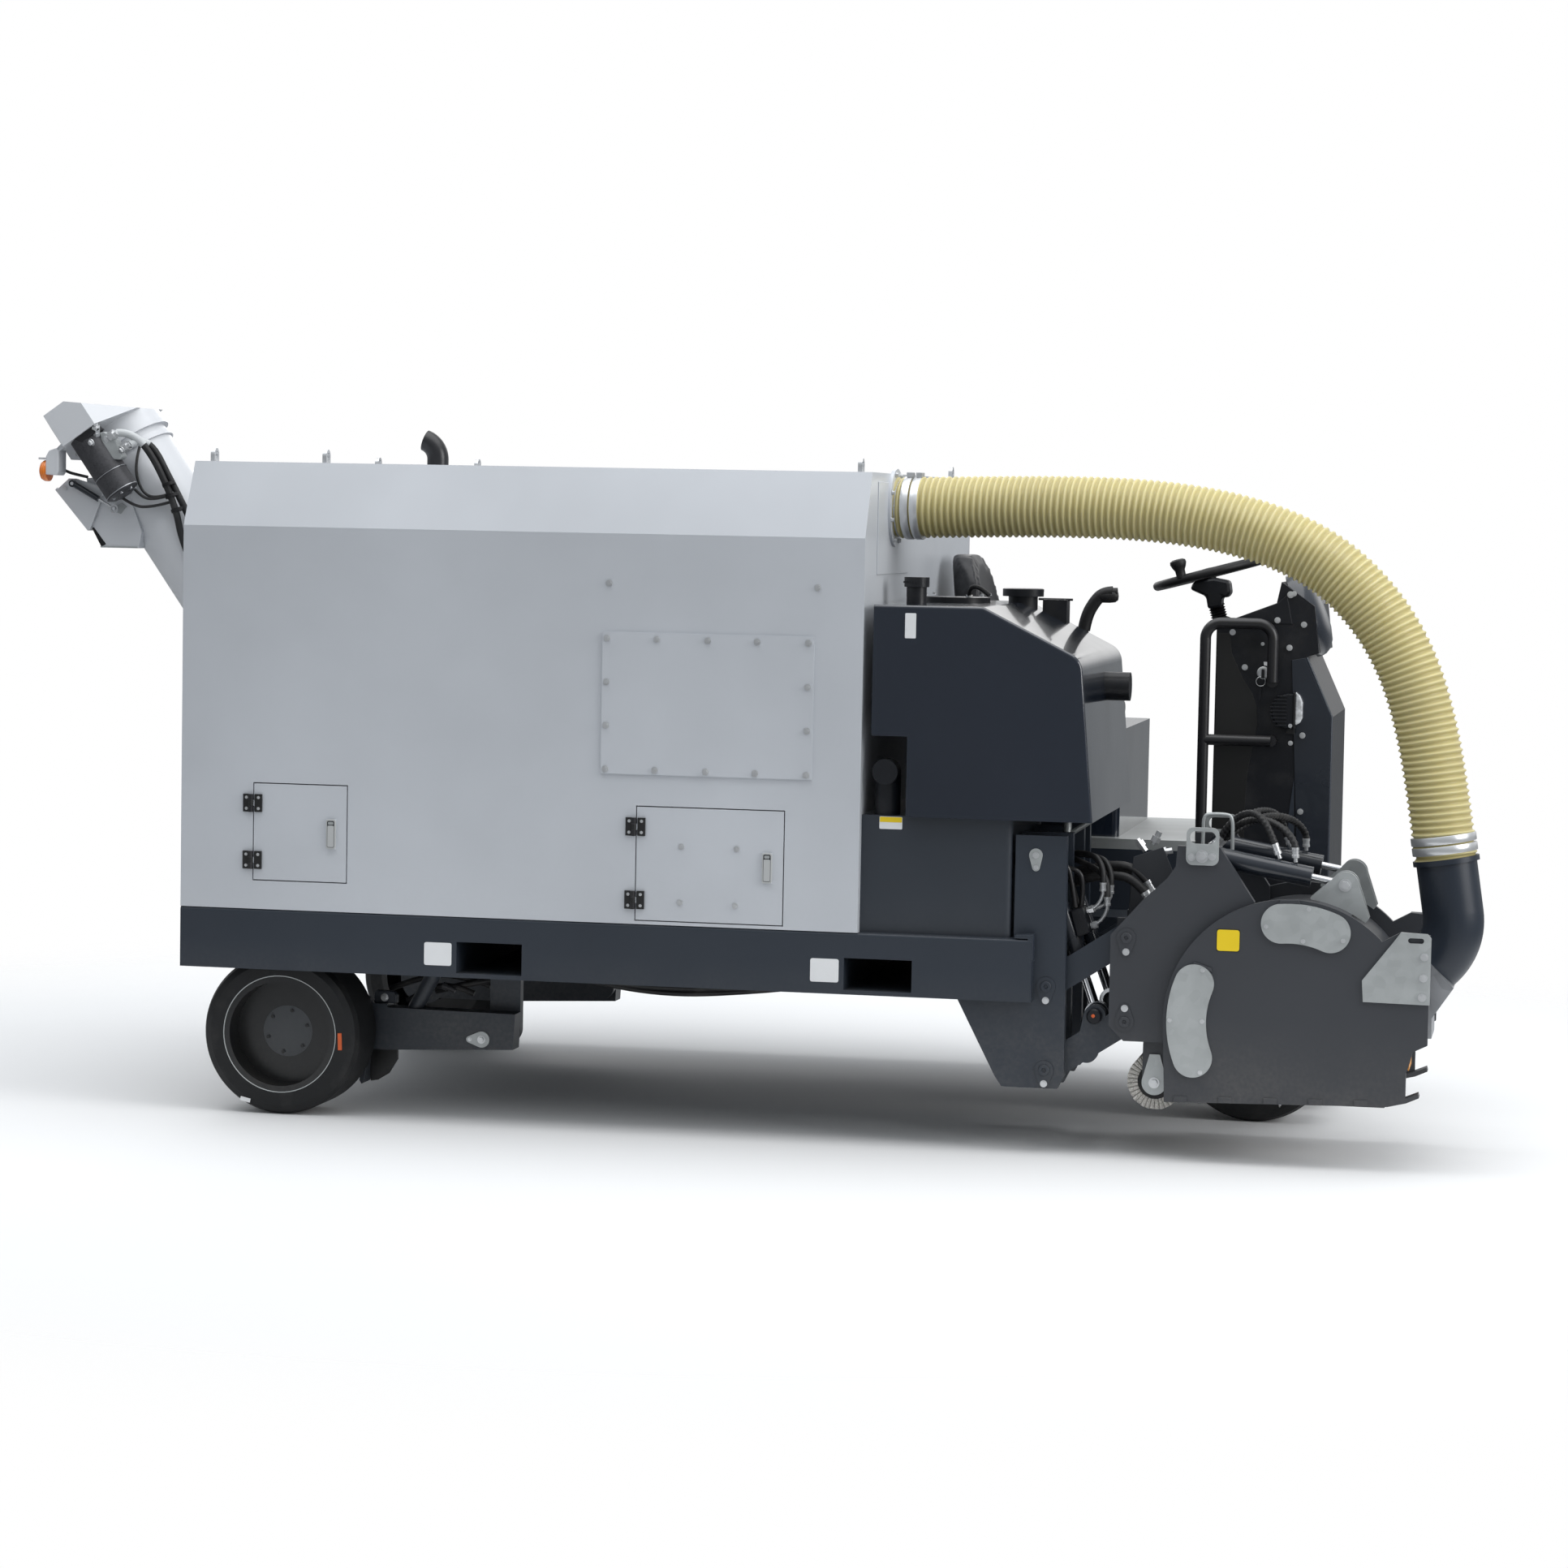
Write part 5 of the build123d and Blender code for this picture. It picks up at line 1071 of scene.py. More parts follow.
# %% Wrapped hoses, ferrules and fittings of the head
def ferrule(start, end, radius=0.0105):
    """Row for a crimped ferrule between two points."""
    way = end - start
    profile = [(0, 0.6), (0, 1), (0.18, 1), (0.2, 0.9), (0.5, 0.9), (0.52, 1), (0.7, 1), (0.72, 0.55),
               (1, 0.55)]
    return start, way, [(share * way.length, part * radius) for share, part in profile]


head_hoses = [
    # forward, height and inboard along each hose, then its ferrule's foot
    [(2.902, 0.868, 0.215), (2.93, 0.915, 0.205), (2.983, 0.95, 0.15), (3.024, 0.93, 0.118),
     (3.045, 0.893, 0.104), (3.056, 0.863, 0.104), (3.072, 0.823, 0.104)],
    [(2.906, 0.86, 0.235), (2.95, 0.912, 0.215), (3.013, 0.927, 0.18), (3.073, 0.908, 0.13),
     (3.106, 0.879, 0.106), (3.112, 0.855, 0.104), (3.114, 0.815, 0.104)],
    [(2.905, 0.866, 0.285), (2.96, 0.925, 0.3), (3.01, 0.94, 0.37), (3.046, 0.91, 0.47),
     (3.056, 0.863, 0.496), (3.06, 0.853, 0.496), (3.072, 0.823, 0.496)],
    [(2.908, 0.858, 0.265), (2.97, 0.912, 0.3), (3.03, 0.925, 0.38), (3.09, 0.9, 0.48),
     (3.112, 0.865, 0.496), (3.113, 0.85, 0.496), (3.114, 0.815, 0.496)],
]
feet, starts = [], []
for index, line in enumerate(head_hoses):
    points = [spot(*point) for point in line]
    ribbed_hose(f"tilt_hose_{index + 1}", points[:-1], 16, hose_rubber, "head", "black_plastic",
                Radius=0.0088, Pitch=0.013, Rib_height=0.0016, Steps=0.0024)
    feet.append(ferrule(points[-2], points[-1]))
    starts.append(ferrule(points[0], points[0] - Vector((0.026, 0, 0.03))))
turned("tilt_hose_ferrules", feet, bolt_zinc, sides=14, body="tilt_barrels")
starts += [(spot(2.876, 0.838, 0.25), (0, 1, 0), capped((-0.045, 0.013), (0.045, 0.013)))]
turned("tilt_hose_fittings", starts, bolt_zinc, sides=14, body="head")
tube("lifting_handle", level_run(((2.859, 0.6), (2.859, 0.89), (2.861, 0.931), (2.885, 0.934), (2.915, 0.934),
                                  (2.938, 0.93), (2.94, 0.88), (2.94, 0.66)), 0.15), 0.0052, galvanised,
     body="head")

lower_rows = [
    # start, bend, hose end: forward and height at one inboard distance
    ((2.548, 0.659), (2.583, 0.668), (2.591, 0.707), 0.15),
    ((2.56, 0.617), (2.596, 0.628), (2.604, 0.668), 0.15),
    ((2.548, 0.659), (2.598, 0.664), (2.607, 0.697), 0.195),
]
nuts, ends = [], []
for index, row in enumerate(lower_rows):
    first, middle, last = level_run(row[:3], row[3])
    nuts.append((first, (middle - first).normalized(), [(0, 0.0), (0, 0.0085), (0.006, 0.0085),
                                                        (0.006, 0.0105), (0.019, 0.0105), (0.019, 0.006)]))
    tube(f"lift_port_{index + 1}", [first, middle, last], 0.0052, bolt_zinc, body="lift_barrels")
    ends.append(ferrule(last + Vector((0, 0, 0.03)), last - Vector((0, 0, 0.004)), 0.0095))
    tube(f"lift_hose_{index + 1}", [last + Vector((0, 0, 0.026)), last + Vector((0.002, 0.01, 0.075)),
                                    last + Vector((-0.05, 0.06, 0.11)), spot(2.45, 0.8, 0.3)], 0.0085,
         hose_rubber)
turned("lift_port_nuts", nuts, bolt_zinc, 6, 20, body="lift_barrels")
turned("lift_hose_ferrules", ends, bolt_zinc, sides=14, body="lift_barrels")
side_plate("valve_block", [(2.507, 0.66), (2.541, 0.671), (2.563, 0.601), (2.528, 0.588)], 0.112, 0.08,
           console_black, 0.003, body="lift_barrels")
pipes = [[(2.44, 0.8), (2.494, 0.798), (2.512, 0.72), (2.52, 0.668)],
         [(2.44, 0.775), (2.524, 0.78), (2.54, 0.72), (2.532, 0.668)],
         [(2.44, 0.745), (2.498, 0.752), (2.512, 0.7), (2.526, 0.66)]]
tubes("lift_pipe", [[(*point, 0.125 + 0.022 * index) for point in line] for index, line in enumerate(pipes)],
      0.0068, black_steel, body="lift_barrels")

motor_lines = [
    # inboard, height at the frame, height over the links
    (0.24, 0.69, 0.752), (0.275, 0.705, 0.778), (0.31, 0.72, 0.768), (0.345, 0.7, 0.745),
]
joints, ties = [], []
for index, (inboard, low, high) in enumerate(motor_lines):
    tied = spot(2.585, high - 0.006, inboard + 0.008)
    first = [spot(2.43, low, inboard + 0.03), spot(2.5, low + 0.035, inboard + 0.02),
             spot(2.55, high - 0.01, inboard + 0.012), tied]
    last = [tied, spot(2.625, high - 0.001, inboard + 0.004), spot(2.668, high - 0.016, inboard),
            spot(2.7, high - 0.05, inboard)]
    for end, points, one, other in (("rear", first, "chassis", "lower_links"),
                                    ("front", last, "lower_links", "head")):
        made = tube(f"drum_hose_{end}_{index + 1}", points, 0.0125, hose_rubber, 14, body=None)
        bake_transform(made)
    way = last[1] - first[-2]
    ties.append((tied - way.normalized() * 0.008, way, capped((0, 0.0138), (0.016, 0.0138))))
    joints.append(ferrule(last[-1] + Vector((-0.004, 0, 0.006)), last[-1] + Vector((0.026, 0, -0.04)), 0.015))
turned("drum_hose_ties", ties, black_steel, sides=20, body="lower_links")
turned("drum_hose_ferrules", joints, bolt_zinc, sides=16, body="head")
nipple = capped((0, 0.008), (0.008, 0.008), (0.008, 0.0135), (0.024, 0.0135), (0.024, 0.009), (0.04, 0.009))
cluster = [(spot(2.664, 0.846, 0.303), (0.6, 0, -0.8)), (spot(2.69, 0.806, 0.29), (0.8, 0, -0.5)),
           (spot(2.708, 0.832, 0.315), (0.4, 0, 0.9)), (spot(2.725, 0.812, 0.28), (1, 0, 0.2))]
turned("drum_motor_fittings", [(*row, nipple) for row in cluster], bolt_zinc, 6, 20, body="head")
side_plate("fitting_bracket", [(2.648, 0.64), (2.658, 0.8), (2.74, 0.83), (2.77, 0.76), (2.7, 0.64)], 0.2652,
           0.0046, head_dark, body="head")
turned("rod_foot_caps", [(spot(2.586, 0.38, 0.06), (0, -1, 0), capped((-0.012, 0.021), (0, 0.021),
                                                                      (0.004, 0.017)))], console_black,
       sides=28, body="lower_links")
turned("rod_foot_mark", [(spot(2.584, 0.382, 0.0555), (0, -1, 0), capped((-0.001, 0.005), (0.0015, 0.005),
                                                                         (0.0025, 0.003)))], mark_orange,
       sides=18, body="lower_links", slot="black_plastic")

# %% [markdown]
# ## Frame ends and what hangs beneath
# The side rail ends in a folded plate, a gas spring props the hood's front, and hoses run
# under the deck to the rear wheels.

# %% Frame end plate, hood prop and hoses under the deck
side_plate("rail_end_plate", [(2.372, 0.59), (2.372, 0.599), (2.423, 0.602), (2.423, 0.527), (2.4085, 0.527),
                              (2.4085, 0.59)], 0.001, 0.036, frame_slate)
tube("hood_prop", level_run(((2.44, 0.83), (2.555, 0.906)), 0.3), 0.008, galvanised, order=2)
turned("hood_prop_foot", [(spot(2.47, 0.8, 0.3), (0, 0, 1), capped((0, 0.012), (0.1, 0.012), (0.104, 0.01)))],
       galvanised, sides=18)
under = [
    # inboard, height, drop of the sag
    (0.33, 0.4, 0.03), (0.352, 0.404, 0.055), (0.376, 0.398, 0.042),
]
tubes("deck_hose", [[(0.64, 0.33, inboard + 0.05), (0.8, 0.372, inboard + 0.03), (1.0, z, inboard),
                     (1.3, z - drop, inboard), (1.6, z - 0.6 * drop, inboard + 0.02),
                     (1.9, z + 0.01, inboard + 0.06), (2.18, z + 0.03, inboard + 0.06)]
                    for inboard, z, drop in under], 0.0085, hose_rubber)

# %% [markdown]
# ## Operator's console
# The console's near side is a sheet with a dished panel behind the grab rail, a folded
# cover along its front and a round pod for the instruments at its top.

# %% Panels, pod and bolts of the console
CONSOLE = 1.02
UP, NEARWARDS = (0, 0, 1), (0, -1, 0)


def arc(centre, radius, start, end, steps):
    """Points of an arc in the side view, angles in degrees."""
    angles = (math.radians(start + (end - start) * k / steps) for k in range(steps + 1))
    return [(centre[0] + radius * math.cos(a), centre[1] + radius * math.sin(a)) for a in angles]


side_plate("console_dish", [(2.803, 1.4), (2.838, 1.4), (2.846, 1.342), (2.88, 1.27), (2.908, 1.228),
                            (2.922, 1.19), (2.926, 1.14), (2.918, 1.09), (2.906, 1.03), (2.9, 0.987),
                            (2.896, 0.9), (2.894, 0.62), (2.803, 0.62)], CONSOLE - 0.0015, 0.0015,
           label_black, 0.0006)
side_plate("console_cover", [(3.02, 1.326), (3.06, 1.334), (3.138, 1.163), (3.141, 0.605), (3.05, 0.605),
                             (3.05, 0.743)], CONSOLE - 0.003, 0.003, cylinder_dark, 0.0012)
tube("console_edge", level_run(((3.063, 1.334), (3.139, 1.164), (3.141, 0.605)), CONSOLE + 0.002), 0.0045,
     frame_slate, order=2)
side_plate("console_gusset", [(3.036, 0.985), (3.023, 0.875), (3.022, 0.61), (3.046, 0.61)], CONSOLE - 0.002,
           0.002, frame_slate, 0.0006)
pod_face, pod_way = spot(3.034, 1.452, 1.156), Vector((0.925, 0.0, 0.384))
turned("instrument_pod", [(pod_face, pod_way, [(0.0, 0.0), (0.0, 0.124), (0.003, 0.13), (0.016, 0.1315),
                                               (0.03, 0.129), (0.046, 0.119), (0.06, 0.099), (0.069, 0.066),
                                               (0.073, 0.0)])], cylinder_dark, sides=72)
turned("instrument_bezel", [(pod_face - pod_way * 0.004, pod_way, [(0.0, 0.0), (0.0, 0.112), (0.004, 0.116),
                                                                   (0.0045, 0.0)])], console_black, sides=64)
side_plate("console_brow", [(2.853, 1.43), (2.853, 1.444), (2.976, 1.492), (3.002, 1.516), (3.02, 1.43)],
           CONSOLE - 0.0025, 0.03, console_black, 0.002)
near_bolts("console_bolts", [(2.847, 1.403), (2.885, 1.302), (2.976, 1.441), (3.053, 1.43), (3.013, 1.362),
                             (3.057, 1.108), (3.057, 0.886)], 0.0125, CONSOLE - 0.003, 18)
near_bolts("console_screw", [(2.935, 1.371)], 0.0075, CONSOLE - 0.002, 14)
bolts("pod_fitting", [(spot(3.012, 1.516, CONSOLE - 0.002), "near", 0.014),
                      (spot(3.022, 1.519, CONSOLE - 0.002), "near", 0.011)], 16)

# %% [markdown]
# The key switch has a zinc ring, a white arc that marks its positions, and the key with
# its ring in it.

# %% Key switch
turned("key_switch", [(spot(2.939, 1.287, CONSOLE), NEARWARDS, capped((-0.002, 0.0185), (0.0015, 0.0185),
                                                                      (0.0025, 0.017), (0.0025, 0.0125),
                                                                      (0.0045, 0.0125)))], bolt_zinc,
       sides=36)
side_plate("key_blade", [(2.935, 1.298), (2.943, 1.298), (2.943, 1.272), (2.935, 1.272)], CONSOLE - 0.022,
           0.018, console_black)
side_plate("key_scale", arc((2.943, 1.286), 0.0335, 97, -33, 14) + arc((2.943, 1.286), 0.0225, -33, 97, 14),
           CONSOLE - 0.0008, 0.0008, label_white, 0.0)
tube("key_ring", level_run(arc((2.933, 1.262), 0.0135, 95, 455, 24), CONSOLE - 0.012), 0.0012, bolt_zinc,
     order=2)
side_plate("key_spare", [(2.927, 1.25), (2.936, 1.249), (2.934, 1.215), (2.93, 1.196), (2.927, 1.215)],
           CONSOLE - 0.01, 0.002, console_black, 0.0006)

# %% [markdown]
# The work light looks ahead: a finned black body with a clear ribbed lens, on a bolted
# bracket that shares the grab rail's lower bolt.

# %% Work light
LAMP_NEAR, LAMP_DEEP = 0.977, 0.041
LAMP_MIDDLE = (3.02, 1.178)
lamp_body = side_plate("work_lamp_body", arc(LAMP_MIDDLE, 0.052, 100, 258, 12) + [(3.033, 1.13),
                                                                                  (3.033, 1.229)],
                       LAMP_NEAR + 0.004, LAMP_DEEP - 0.008, console_black, 0.003)
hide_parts("work_light")
fins = []
for k in range(9):
    z = 1.137 + 0.0106 * k
    reach = math.sqrt(max(0.0, 0.0565 ** 2 - (z - LAMP_MIDDLE[1]) ** 2))
    fins.append((spot(LAMP_MIDDLE[0] - reach, z - 0.0022, LAMP_NEAR),
                 spot(3.012, z + 0.0022, LAMP_NEAR + LAMP_DEEP)))
boxes("work_lamp_fins", fins, console_black, 0.0008)
side_plate("work_lamp_rim", [(3.031, 1.128), (3.037, 1.128), (3.037, 1.234), (3.031, 1.234)], LAMP_NEAR,
           LAMP_DEEP, grip_black)
side_plate("work_lamp_lens", [(3.037, 1.138), (3.052, 1.146), (3.058, 1.16), (3.058, 1.205), (3.051, 1.224),
                              (3.037, 1.236)], LAMP_NEAR + 0.001, LAMP_DEEP - 0.002, clear_lens, 0.004)
side_plate("work_lamp_bracket", [(3.01, 1.112), (3.036, 1.112), (3.036, 1.139), (3.016, 1.139)], 0.985, 0.02,
           grip_black)
bolts("work_lamp_bolts", [(spot(3.024, 1.137, 0.985), "near", 0.012),
                          (spot(3.025, 1.086, 0.992), "near", 0.01)], 16)

# %% [markdown]
# ## Steering wheel
# The wheel has three flat spokes, a soft rim and a turning knob, and a shroud and a rubber
# gaiter under its hub. The knob points back and to the near side as the machine stands.

# %% Wheel, knob, shroud and gaiter
WHEEL = spot(2.74, 1.568, 1.35)
TILT = math.radians(15.6)
wheel_up = Vector((-math.sin(TILT), 0, math.cos(TILT)))
wheel_side = Vector((0, 1, 0))
wheel_ahead = wheel_side.cross(wheel_up)
RIM_STEPS, RIM_SIDES, RIM_RADIUS = 64, 14, 0.156


def on_wheel(angle, radius, lift=0.0):
    """Point of the wheel's plane at an angle from the far side."""
    turn_by = math.radians(angle)
    way = wheel_side * math.cos(turn_by) + wheel_ahead * math.sin(turn_by)
    return WHEEL + way * radius + wheel_up * lift


def build_wheel(shape):
    """Rim as a ring of sections, three spokes and the hub."""
    rings = []
    for k in range(RIM_STEPS):
        angle = 360 * k / RIM_STEPS
        out_way = (on_wheel(angle, 1.0) - WHEEL).normalized()
        middle = on_wheel(angle, RIM_RADIUS)
        rings.append([shape.verts.new(middle + (out_way * math.cos(a) + wheel_up * math.sin(a)) * 0.0138)
                      for a in round_the_clock(RIM_SIDES)])
    for ring, after in zip(rings, rings[1:] + rings[:1]):
        for i in range(RIM_SIDES):
            j = (i + 1) % RIM_SIDES
            shape.faces.new((ring[i], ring[j], after[j], after[i]))
    for angle in (90, 210, 330):
        add_prism(shape, [on_wheel(angle - 40, 0.036, -0.012), on_wheel(angle - 8, 0.15, -0.005),
                          on_wheel(angle + 8, 0.15, -0.005), on_wheel(angle + 40, 0.036, -0.012)],
                  wheel_up * 0.008)
    add_turned(shape, WHEEL - wheel_up * 0.013, wheel_up, [(0, 0.0), (0, 0.042), (0.016, 0.042),
                                                           (0.026, 0.034), (0.029, 0.014), (0.03, 0.0)])


wheel_piece = mesh_piece("steering_wheel_rim", build_wheel, grip_black, smooth=True, body="steering_wheel")
crease(wheel_piece, 40)
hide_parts("steering_wheel")
turned("steering_knob", [(on_wheel(205, RIM_RADIUS, 0.006), wheel_up,
                          [(0, 0.0), (0, 0.015), (0.01, 0.0145), (0.022, 0.015), (0.032, 0.0205),
                           (0.043, 0.0245), (0.051, 0.023), (0.055, 0.016), (0.056, 0.0)])], grip_black,
       sides=30, body="steering_wheel")
side_plate("column_shroud", [(2.69, 1.52), (2.7, 1.545), (2.76, 1.556), (2.806, 1.548), (2.812, 1.512),
                             (2.8, 1.496), (2.786, 1.5), (2.784, 1.468), (2.745, 1.462), (2.738, 1.5)], 1.305,
           0.09, console_black, 0.008)
pleats = [(0.0, 0.024)]
for k in range(5):
    pleats += [(0.008 + 0.013 * k, 0.0255), (0.0145 + 0.013 * k, 0.0205)]
pleats += [(0.074, 0.027), (0.082, 0.033), (0.086, 0.033)]
turned("column_gaiter", [(spot(2.7655, 1.476, 1.35), (0.27, 0, -0.96),
                          capped(*((0.6 * a, b) for a, b in pleats)))], grip_black, smooth_angle=60)

# %% [markdown]
# ## Seat
# The seat is two foam pads in black vinyl. Each starts as a slim rounded block and is
# pumped up by a short cloth run with its movement capped.

# %% Blow up the seat pads
def soft_block(name, shape, voxel, smoothing=0):
    """Foam block: an even voxel mesh of a shape, smoothed a number of times."""
    bmesh.ops.recalc_face_normals(shape, faces=shape.faces)
    if not smoothing:
        bmesh.ops.bevel(shape, geom=list(shape.edges), offset=0.02, segments=4, affect="EDGES", profile=0.5)
    made = new_object(name, to_mesh(name, shape))
    fine = made.modifiers.new("fine", "REMESH")
    fine.mode = "VOXEL"
    fine.voxel_size = voxel
    if smoothing:
        made.modifiers.new("soften", "SMOOTH").iterations = smoothing
    mesh = settled(made)
    made.modifiers.clear()
    made.data = mesh
    return made


def bucket_block(name, low, high, near, far, thick, wing):
    """Leaning backrest whose sides sweep forwards, between the ends of its front line."""
    shape = bmesh.new()
    across, tall = 17, 15
    skins = []
    for depth in (0.0, thick):
        rows = []
        for j in range(tall):
            v = j / (tall - 1)
            row = []
            for i in range(across):
                t = 2 * i / (across - 1) - 1
                sweep = wing * abs(t) ** 3 * (0.35 + 0.65 * (1 - v) ** 1.3)
                width = (far - near) / 2 * (1 - 0.16 * v ** 4)
                drop = 0.07 * abs(t) ** 4 * v ** 3
                x = low.x + (high.x - low.x) * v + sweep - depth * (1 - 0.45 * abs(t) ** 3)
                z = low.z + (high.z - low.z) * v - drop
                row.append(shape.verts.new((x, (near + far) / 2 + t * width, z)))
            rows.append(row)
        skins.append(rows)
    front, back = skins
    for j in range(tall - 1):
        for i in range(across - 1):
            shape.faces.new((front[j][i], front[j][i + 1], front[j + 1][i + 1], front[j + 1][i]))
            shape.faces.new((back[j][i], back[j + 1][i], back[j + 1][i + 1], back[j][i + 1]))
    rim = [(0, i) for i in range(across)] + [(j, across - 1) for j in range(1, tall)]
    rim += [(tall - 1, i) for i in range(across - 2, -1, -1)] + [(j, 0) for j in range(tall - 2, 0, -1)]
    for (a, b), (c, d) in zip(rim, rim[1:] + rim[:1]):
        shape.faces.new((front[a][b], back[a][b], back[c][d], front[c][d]))
    return soft_block(name, shape, 0.008, 6)


def inflate(made, cap=0.01, frames=18):
    """Short cloth run with inner pressure, no gravity, and a limit on every point's move."""
    start = [v.co.copy() for v in made.data.vertices]
    cloth = made.modifiers.new("cloth", "CLOTH")
    cloth.settings.use_pressure = True
    cloth.settings.uniform_pressure_force = 4.0
    cloth.settings.effector_weights.gravity = 0.0
    cloth.settings.quality = 5
    cloth.point_cache.frame_start = 1
    cloth.point_cache.frame_end = frames
    for frame_number in range(1, frames + 1):
        bpy.context.scene.frame_set(frame_number)
    ready = made.evaluated_get(bpy.context.evaluated_depsgraph_get())
    moved = [v.co.copy() for v in ready.to_mesh().vertices]
    ready.to_mesh_clear()
    made.modifiers.remove(cloth)
    bpy.context.scene.frame_set(1)
    for vertex, before, after in zip(made.data.vertices, start, moved):
        step = after - before
        if step.length > cap:
            step = step.normalized() * cap
        vertex.co = before + step


SEAT_LOW, SEAT_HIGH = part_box("seat")
seat_near, seat_far = SEAT_LOW[1] + 0.012, SEAT_HIGH[1] - 0.012
cushion_low = SEAT_LOW[2] + 0.004
shape = bmesh.new()
add_prism(shape, [(BODY_REAR + x, y, cushion_low + 0.006) for x, y in (
    (2.112, seat_near), (2.486, seat_near), (2.486, seat_far), (2.112, seat_far))], Vector((0, 0, 0.062)))
cushion = soft_block("seat_cushion", shape, 0.009)
backrest = bucket_block("seat_backrest", spot(2.085, cushion_low + 0.02), spot(2.04, SEAT_HIGH[2] - 0.004),
                        seat_near + 0.008, seat_far - 0.008, 0.062, 0.09)
for pad in (cushion, backrest):
    inflate(pad)
    pad.data.materials.append(vinyl_black)
    smooth = pad.modifiers.new("smooth", "SUBSURF")
    smooth.levels = smooth.render_levels = 1
    smooth_sides(pad)
    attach(pad, "chassis")
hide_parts("seat")
boxes("seat_pan", [(spot(2.022, SEAT_LOW[2] + 0.0005, 1.15), spot(2.47, SEAT_LOW[2] + 0.007, 1.55))],
      black_steel)

# %% [markdown]
# ## Hood and tank details
# Behind the hood stand the filler caps and a lever with a moulded grip. An access plate
# with four screws closes the top, and a short hose links two fittings.

# %% Caps, access screws, lever and small hose
cap_ways = [Vector((math.cos(a), math.sin(a), 0)) for a in round_the_clock(28)]
tufts("filler_cap_ribs", [(spot(2.0325, 1.54, 0.3) + way * 0.0335, way) for way in cap_ways], console_black,
      "chassis", "black_plastic", Root=0.0016, Tip=0.003, Length=0.003, Vary=0.0, Sides=6)
turned("filler_cap", [(spot(2.0325, 1.5, 0.3), UP, [(0, 0.0), (0, 0.027), (0.026, 0.027), (0.027, 0.0335),
                                                    (0.05, 0.0335), (0.053, 0.0315), (0.0535, 0.0)])],
       console_black, sides=40)
turned("tank_cap_rim", [(spot(2.2685, 1.5125, 0.75), UP, capped((0, 0.059), (0.0075, 0.059),
                                                                (0.009, 0.056)))], console_black, sides=48)
bolts("access_screws", [(spot(x, 1.5015, inboard), "up", 0.01) for x, inboard in (
    (2.03, 0.48), (2.19, 0.48), (2.19, 0.62), (2.03, 0.62))])
tube("breather_hose", [spot(2.15, 1.5, 0.5), spot(2.152, 1.525, 0.48), spot(2.185, 1.53, 0.46),
                       spot(2.215, 1.505, 0.45)], 0.0065, hose_rubber)
turned("breather_nut", [(spot(2.15, 1.492, 0.5), UP, capped((0, 0.01), (0.012, 0.01)))], bolt_zinc, 6, 20)
turned("lever_grip", [(spot(2.462, 1.5, 0.965), (0.93, 0, 0.02), [(0, 0.0), (0, 0.016), (0.004, 0.019),
                                                                  (0.03, 0.0195), (0.046, 0.018),
                                                                  (0.054, 0.012), (0.056, 0.0)])], grip_black,
       sides=26)
tube("lever_sleeve", level_run(((2.418, 1.4), (2.424, 1.44), (2.449, 1.486), (2.474, 1.5105), (2.5, 1.512)),
                               0.965), 0.0185, grip_black, 20)
tube("box_edge", [spot(2.3, 1.4905, 0.84), spot(2.4, 1.4905, 0.84)], 0.0035, black_steel, order=2)

# %% [markdown]
# ## Doors
# Each service door hangs on two black hinges with four countersunk screws, and closes with
# a recessed latch whose paddle has a short pull at its top.

# %% Hinge covers, screws and latches
doors = [
    # name, left edge forwards, bottom, width, height
    ("rear_door", 0.215, 0.671, 0.271, 0.27),
    ("front_door", 1.319, 0.6, 0.412, 0.312),
]
latch_sheets = [
    # name, width, height, corner radius, lift, near face, thickness, finish, bevel
    ("frame", 0.0275, 0.0835, 0.006, 0.0, -0.0082, 0.0082, key_grey, 0.001),
    ("shadow", 0.0205, 0.0745, 0.004, 0.0, -0.0086, 0.001, console_black, 0.0),
    ("paddle", 0.0185, 0.06, 0.003, -0.006, -0.0095, 0.0015, key_grey, 0.0008),
    ("pull", 0.015, 0.008, 0.002, 0.0305, -0.0094, 0.0012, galvanised, 0.0005),
]
for door, left, low, wide, high in doors:
    fixed, moving, barrels, fixed_screws, moving_screws = [], [], [], [], []
    for z in (low + 0.055, low + high - 0.055):
        fixed.append((spot(left - 0.0265, z - 0.0252, -0.0062), spot(left - 0.0145, z + 0.0252)))
        moving.append((spot(left + 0.003, z - 0.0252, -0.0062), spot(left + 0.0245, z + 0.0252)))
        barrels.append((spot(left - 0.007, z - 0.0083, -0.0075), UP, capped((0, 0.0073), (0.0166, 0.0073))))
        for lift in (-0.0155, 0.0155):
            fixed_screws.append((left - 0.0205, z + lift))
            moving_screws.append((left + 0.0145, z + lift))
    boxes(f"{door}_hinge_fixed", fixed, label_black, 0.0008)
    boxes(f"{door}_hinge_leaves", moving, label_black, 0.0008, body=door)
    turned(f"{door}_hinge_barrels", barrels, label_black, sides=24, body=door)
    near_bolts(f"{door}_hinge_screws_fixed", fixed_screws, 0.0062, -0.0061, 14)
    near_bolts(f"{door}_hinge_screws", moving_screws, 0.0062, -0.0061, 14, door)
    middle, z = left + wide - 0.0435, low + high / 2
    for label, across, tall, corner, lift, near, thick, coat, bevel in latch_sheets:
        side_plate(f"{door}_latch_{label}", [(middle + x, z + lift + y)
                                             for x, y in rounded(across, tall, corner)], near, thick, coat,
                   bevel, body=door)

# %% [markdown]
# ## Rear wheels and swing arm
# The bolted hub caps, the worn edge of the rims and two small marks on the near tyre tell
# one wheel from another as it turns. The arm's bracket stands behind the wheel.

